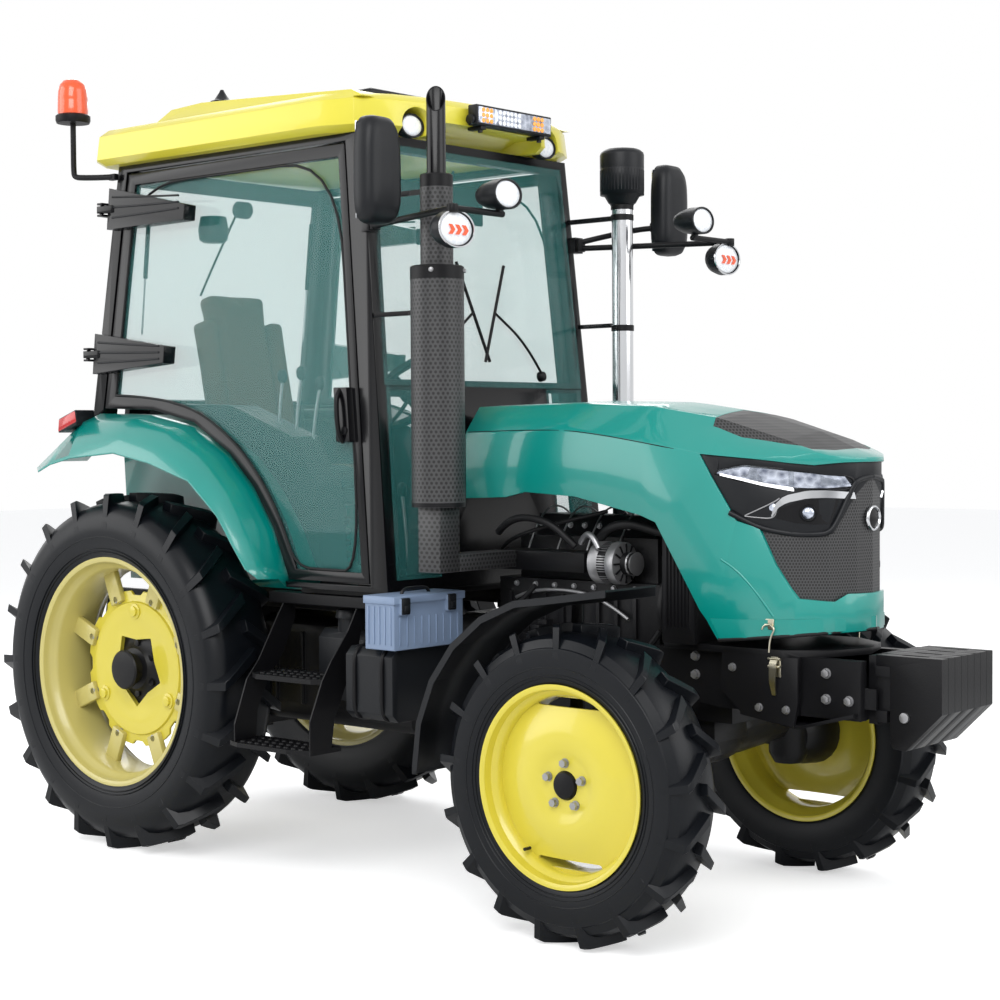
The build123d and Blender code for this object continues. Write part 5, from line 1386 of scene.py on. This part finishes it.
class TRACTOR_OT_lamps(Fit, bpy.types.Operator):
    """Lenses and bezels of the arm lamps, roof lamps, light bar and tail lamps"""
    bl_idname = "tractor.lamps"
    bl_label = "Lamps"

    def execute(self, context):
        ahead = Vector((1, 0, 0))
        for name, s in SIDES:
            bodies = [brick(at(1812, s * 552 - 10, 2298), at(1832, s * 552 + 10, 2330), 0.002),
                      brick(at(1782, s * 762 - 12, 2285), at(1800, s * 762 + 12, 2304), 0.002),
                      drum(at(1188, s * 369, 2672), at(1210, s * 369, 2672), 0.013, 20),
                      outline([at(-350, s * 712, 1600), at(-345, s * 712, 1655), at(-240, s * 712, 1690),
                               at(-230, s * 712, 1630)], (0, -s, 0), 0.092, 0.003)]
            for kind, place, r, deep in (("work", at(1850, s * 552, 2366), 0.050, 0.095),
                                         ("signal", at(1813, s * 762, 2240), 0.060, 0.055),
                                         ("roof", at(1252, s * 369, 2672), 0.0425, 0.046)):
                shell = turned(place, ahead, [(-deep, r * 0.3), (-deep, r * 0.62), (-deep * 0.75, r * 0.84),
                                              (-deep * 0.35, r), (0.010, r), (0.012, r - 0.002), (0.012, r - 0.005),
                                              (0.005, r - 0.007), (0.004, 0.004)], 48)
                bodies.append(widened(shell, place, LAMP_SPREAD))
                lens = turned(place, ahead, [(0.004, r - 0.0065), (0.009, r - 0.009), (0.013, r * 0.55),
                                             (0.0145, r * 0.1)], 48)
                done(widened(lens, place, LAMP_SPREAD), f"{kind}_lamp_lens_{name}", "chassis", "white", 60)
            lamp_bodies = done(bodies, f"lamp_bodies_{name}", "chassis", "plastic", 40)
            if s < 0:
                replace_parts(lamp_bodies, "lamps")
            rim = turned(at(1813, s * 762, 2240), ahead, [(0.010, 0.061), (0.013, 0.060), (0.013, 0.056),
                                                          (0.010, 0.055)], 48, ring=True)
            done(widened(rim, at(1813, s * 762, 2240), LAMP_SPREAD), f"signal_lamp_rim_{name}", "chassis", "chrome",
                 60)
            chevrons = []
            for k in range(3):
                chevrons.append(outline([at(1829, s * 762 - 46 + 32 * k + dy, 2236 + dz) for dy, dz in
                                         ((0, -16), (16, -16), (30, 0), (16, 16), (0, 16), (14, 0))], ahead, 0.003))
            done(chevrons, f"signal_arrow_{name}", "chassis", "orange")
            tail = outline([at(-352, s * 714, 1602), at(-346, s * 714, 1653), at(-241, s * 714, 1688),
                            at(-232, s * 714, 1642)], (0, -s, 0), 0.06, 0.006)
            done(tail, f"tail_lens_{name}", "chassis", "red")
        face = max(touch("cab_roof", at(3000, y, 2728), (-1, 0, 0))[0].x for y in (-150, 60, 270)) + 0.004
        low, high = at(0, -150, 2690), at(0, 270, 2764)
        bar = [brick((face, low.y, low.z), (face + 0.044, high.y, high.z), 0.005)]
        for y in (-105, 225):
            bar.append(brick((face - 0.030, y / 1000 - 0.014, low.z - 0.012),
                             (face + 0.036, y / 1000 + 0.014, low.z + 0.002),
                             0.002))
            bar.append(drum((face + 0.02, y / 1000, low.z - 0.022), (face + 0.02, y / 1000, low.z), 0.009, 20))
        bar.append(drum((face + 0.02, low.y - 0.014, low.z + 0.02), (face + 0.02, low.y, low.z + 0.02), 0.018, 24,
                        0.002))
        done(bar, "light_bar_case", "chassis", "plastic")
        pane = brick((face + 0.040, low.y + 0.008, low.z + 0.008), (face + 0.047, high.y - 0.008, high.z - 0.008),
                     0.002)
        done(pane, "light_bar_pane", "chassis", "lamp_glass")
        for tint, starts in (("amber", (-0.118, 0.168)), ("white", (-0.026, 0.038))):
            cells = []
            for start in starts:
                for k in range(3):
                    for row in range(3):
                        spot = Vector((face + 0.046, start + 0.0215 * k, low.z + 0.018 + 0.019 * row))
                        cells.append(turned(spot, ahead, [(0, 0.0085), (0.003, 0.008), (0.004, 0.002)], 14))
            done(cells, f"light_bar_{tint}", "chassis", tint, 50)
        return {"FINISHED"}


class TRACTOR_OT_roof_gear(Fit, bpy.types.Operator):
    """Mirrors, roof hatch and aerial of the cab"""
    bl_idname = "tractor.roof_gear"
    bl_label = "Mirrors and roof"

    def execute(self, context):
        turns = [2 * pi * (k + 0.5) / 48 for k in range(48)]
        for name, s in SIDES:
            loops = []
            for x, share in ((1490, 0.96), (1494, 1.0), (1520, 1.0), (1540, 0.97), (1556, 0.86), (1563, 0.66),
                             (1565, 0.3)):
                loop = []
                for a in turns:
                    y = copysign(abs(cos(a)) ** 0.5, cos(a)) * (84 - 6 * sin(a)) * share
                    z = copysign(abs(sin(a)) ** 0.5, sin(a)) * (176 * share)
                    loop.append(at(x, s * (810 + y), 2450 + z))
                loops.append(loop)
            done(lofted(loops), f"mirror_head_{name}", "chassis", "plastic", 50)
            glass = brick(at(1487, s * 810 - 70, 2290), at(1491, s * 810 + 70, 2606), 0.001)
            done(glass, f"mirror_glass_{name}", "chassis", "chrome")
            root = 570
            arms = [brick(at(1262, s * root - 20, 2290), at(1278, s * root + 20, 2340), 0.003),
                    tube([at(1268, s * (root + 6), 2328), at(1400, s * 700, 2372), at(1500, s * 780, 2384)], 0.011,
                         12),
                    tube([at(1268, s * (root + 6), 2304), at(1560, s * 690, 2304), at(1822, s * 782, 2304)], 0.011,
                         12),
                    tube([at(1822, s * 796, 2304), at(1822, s * 536, 2304)], 0.011, 12),
                    drum(at(1822, s * 780, 2290), at(1822, s * 780, 2318), 0.018, 20, 0.002),
                    brick(at(1466, s * 770 - 18, 2366), at(1500, s * 770 + 18, 2402), 0.005)]
            joined = done(arms, f"mirror_arms_{name}", "chassis", "satin", 50)
            if s < 0:
                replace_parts(joined, "mirrors")
        tops = [touch("cab_roof", at(x, y, 3300), (0, 0, -1))[0].z for x in (660, 1010) for y in (-320, 0, 320)]
        lid = brick((at(650, 0, 0).x, -0.330, min(tops) - 0.004), (at(1020, 0, 0).x, 0.330, max(tops) + 0.022), 0.014)
        done(lid, "roof_hatch", "chassis", "plastic", 40)
        spot = touch("cab_roof", at(370, -470, 3300), (0, 0, -1))[0]
        aerial = [turned(spot, (0, 0, 1), [(-0.004, 0.046), (0.008, 0.044), (0.014, 0.030), (0.040, 0.012),
                                           (0.052, 0.006),
                                           (0.053, 0.001)], 32)]
        done(aerial, "roof_aerial", "chassis", "plastic", 50)
        return {"FINISHED"}


class TRACTOR_OT_stage(Fit, bpy.types.Operator):
    """Studio floor, soft light and camera"""
    bl_idname = "tractor.stage"
    bl_label = "Stage"

    def execute(self, context):
        size = context.scene.tractor_fittings.floor_size
        deselect()
        bpy.ops.mesh.primitive_plane_add(size=size)
        floor = bpy.context.active_object
        floor.name = "studio_floor"
        floor.data.materials.append(backdrop_finish())
        for name, place, side, power in (("key_light", (4.5, -7.5, 7.0), 6.0, 620),
                                         ("fill_light", (7.5, 2.0, 5.0), 6.0, 260),
                                         ("back_light", (-6.0, 5.0, 7.0), 6.0, 300), ("side_light",
                                                                                      (-6.0, -6.0, 4.0), 6.0, 260)):
            deselect()
            bpy.ops.object.light_add(type="AREA", location=place)
            light = bpy.context.active_object
            light.name = name
            light.data.size = side
            light.data.energy = power
            light.rotation_euler = (Vector((0, 0, 1.2)) - Vector(place)).to_track_quat("-Z", "Y").to_euler()
        world = bpy.data.worlds.new("studio_world")
        context.scene.world = world
        world.use_nodes = True
        tree = world.node_tree
        light_side = tree.nodes["Background"]
        light_side.inputs["Color"].default_value = (0.95, 0.97, 1.0, 1)
        light_side.inputs["Strength"].default_value = 0.45
        seen = tree.nodes.new("ShaderNodeBackground")
        seen.inputs["Color"].default_value = (1, 1, 1, 1)
        seen.inputs["Strength"].default_value = 1.0
        path = tree.nodes.new("ShaderNodeLightPath")
        either = tree.nodes.new("ShaderNodeMath")
        either.operation = "MAXIMUM"
        both = tree.nodes.new("ShaderNodeMath")
        both.operation = "MAXIMUM"
        mix = tree.nodes.new("ShaderNodeMixShader")
        tree.links.new(path.outputs["Is Camera Ray"], either.inputs[0])
        tree.links.new(path.outputs["Is Transmission Ray"], either.inputs[1])
        tree.links.new(either.outputs[0], both.inputs[0])
        tree.links.new(path.outputs["Is Glossy Ray"], both.inputs[1])
        tree.links.new(both.outputs[0], mix.inputs["Fac"])
        tree.links.new(light_side.outputs[0], mix.inputs[1])
        tree.links.new(seen.outputs[0], mix.inputs[2])
        tree.links.new(mix.outputs[0], tree.nodes["World Output"].inputs["Surface"])
        bpy.ops.object.camera_add(location=(4.8409, -5.3708, 1.5896))
        camera = bpy.context.active_object
        camera.name = "main_camera"
        yaw, pitch, roll = radians(130.85), radians(-1.99), radians(-0.38)
        ahead = Vector((cos(yaw) * cos(pitch), sin(yaw) * cos(pitch), sin(pitch)))
        right = Vector((sin(yaw), -cos(yaw), 0))
        up = right.cross(ahead)
        right_rolled = cos(roll) * right + sin(roll) * up
        up_rolled = -sin(roll) * right + cos(roll) * up
        camera.rotation_euler = Matrix((right_rolled, up_rolled, -ahead)).transposed().to_euler()
        camera.data.lens = context.scene.tractor_fittings.lens_length
        camera.data.sensor_width = 36.0
        context.scene.camera = camera
        context.scene.view_settings.view_transform = "Standard"
        return {"FINISHED"}


def backdrop_finish():
    """Pale floor that is plain white to the eye and still takes a soft shadow."""
    g = Graph("studio_floor")
    g.shader.inputs["Roughness"].default_value = 0.9
    g.shader.inputs["Base Color"].default_value = (0.9, 0.9, 0.9, 1)
    g.shader.inputs["Emission Color"].default_value = (1, 1, 1, 1)
    path = g.node("ShaderNodeLightPath")
    g.link(g.maths("MULTIPLY", path.outputs["Is Camera Ray"], 0.5), g.shader.inputs["Emission Strength"])
    return g.material


STEPS = (
    TRACTOR_OT_finishes,
    TRACTOR_OT_sheet_metal,
    TRACTOR_OT_tyres,
    TRACTOR_OT_front_wheels,
    TRACTOR_OT_rear_wheels,
    TRACTOR_OT_stack,
    TRACTOR_OT_air_intake,
    TRACTOR_OT_beacon,
    TRACTOR_OT_nose,
    TRACTOR_OT_cab_fittings,
    TRACTOR_OT_seat,
    TRACTOR_OT_engine_bay,
    TRACTOR_OT_side_gear,
    TRACTOR_OT_lamps,
    TRACTOR_OT_roof_gear,
    TRACTOR_OT_stage,
)


class TRACTOR_PT_dressing(bpy.types.Panel):
    """Lists the steps that dress the tractor"""
    bl_idname = "TRACTOR_PT_dressing"
    bl_label = "Tractor"
    bl_space_type = "VIEW_3D"
    bl_region_type = "UI"
    bl_category = "Tractor"

    def draw(self, context):
        for group in (context.scene.tractor_colours, context.scene.tractor_fittings):
            for key in group.__annotations__:
                self.layout.prop(group, key)
        for step in STEPS:
            self.layout.operator(step.bl_idname)


CLASSES = (TractorColours, TractorFittings, *STEPS, TRACTOR_PT_dressing)


def register():
    for cls in CLASSES:
        bpy.utils.register_class(cls)
    bpy.types.Scene.tractor_colours = bpy.props.PointerProperty(type=TractorColours)
    bpy.types.Scene.tractor_fittings = bpy.props.PointerProperty(type=TractorFittings)


def unregister():
    del bpy.types.Scene.tractor_fittings
    del bpy.types.Scene.tractor_colours
    for cls in reversed(CLASSES):
        bpy.utils.unregister_class(cls)


def main():
    register()
    for step in STEPS:
        group, name = step.bl_idname.split(".")
        getattr(getattr(bpy.ops, group), name)()


if __name__ == "__main__":
    main()
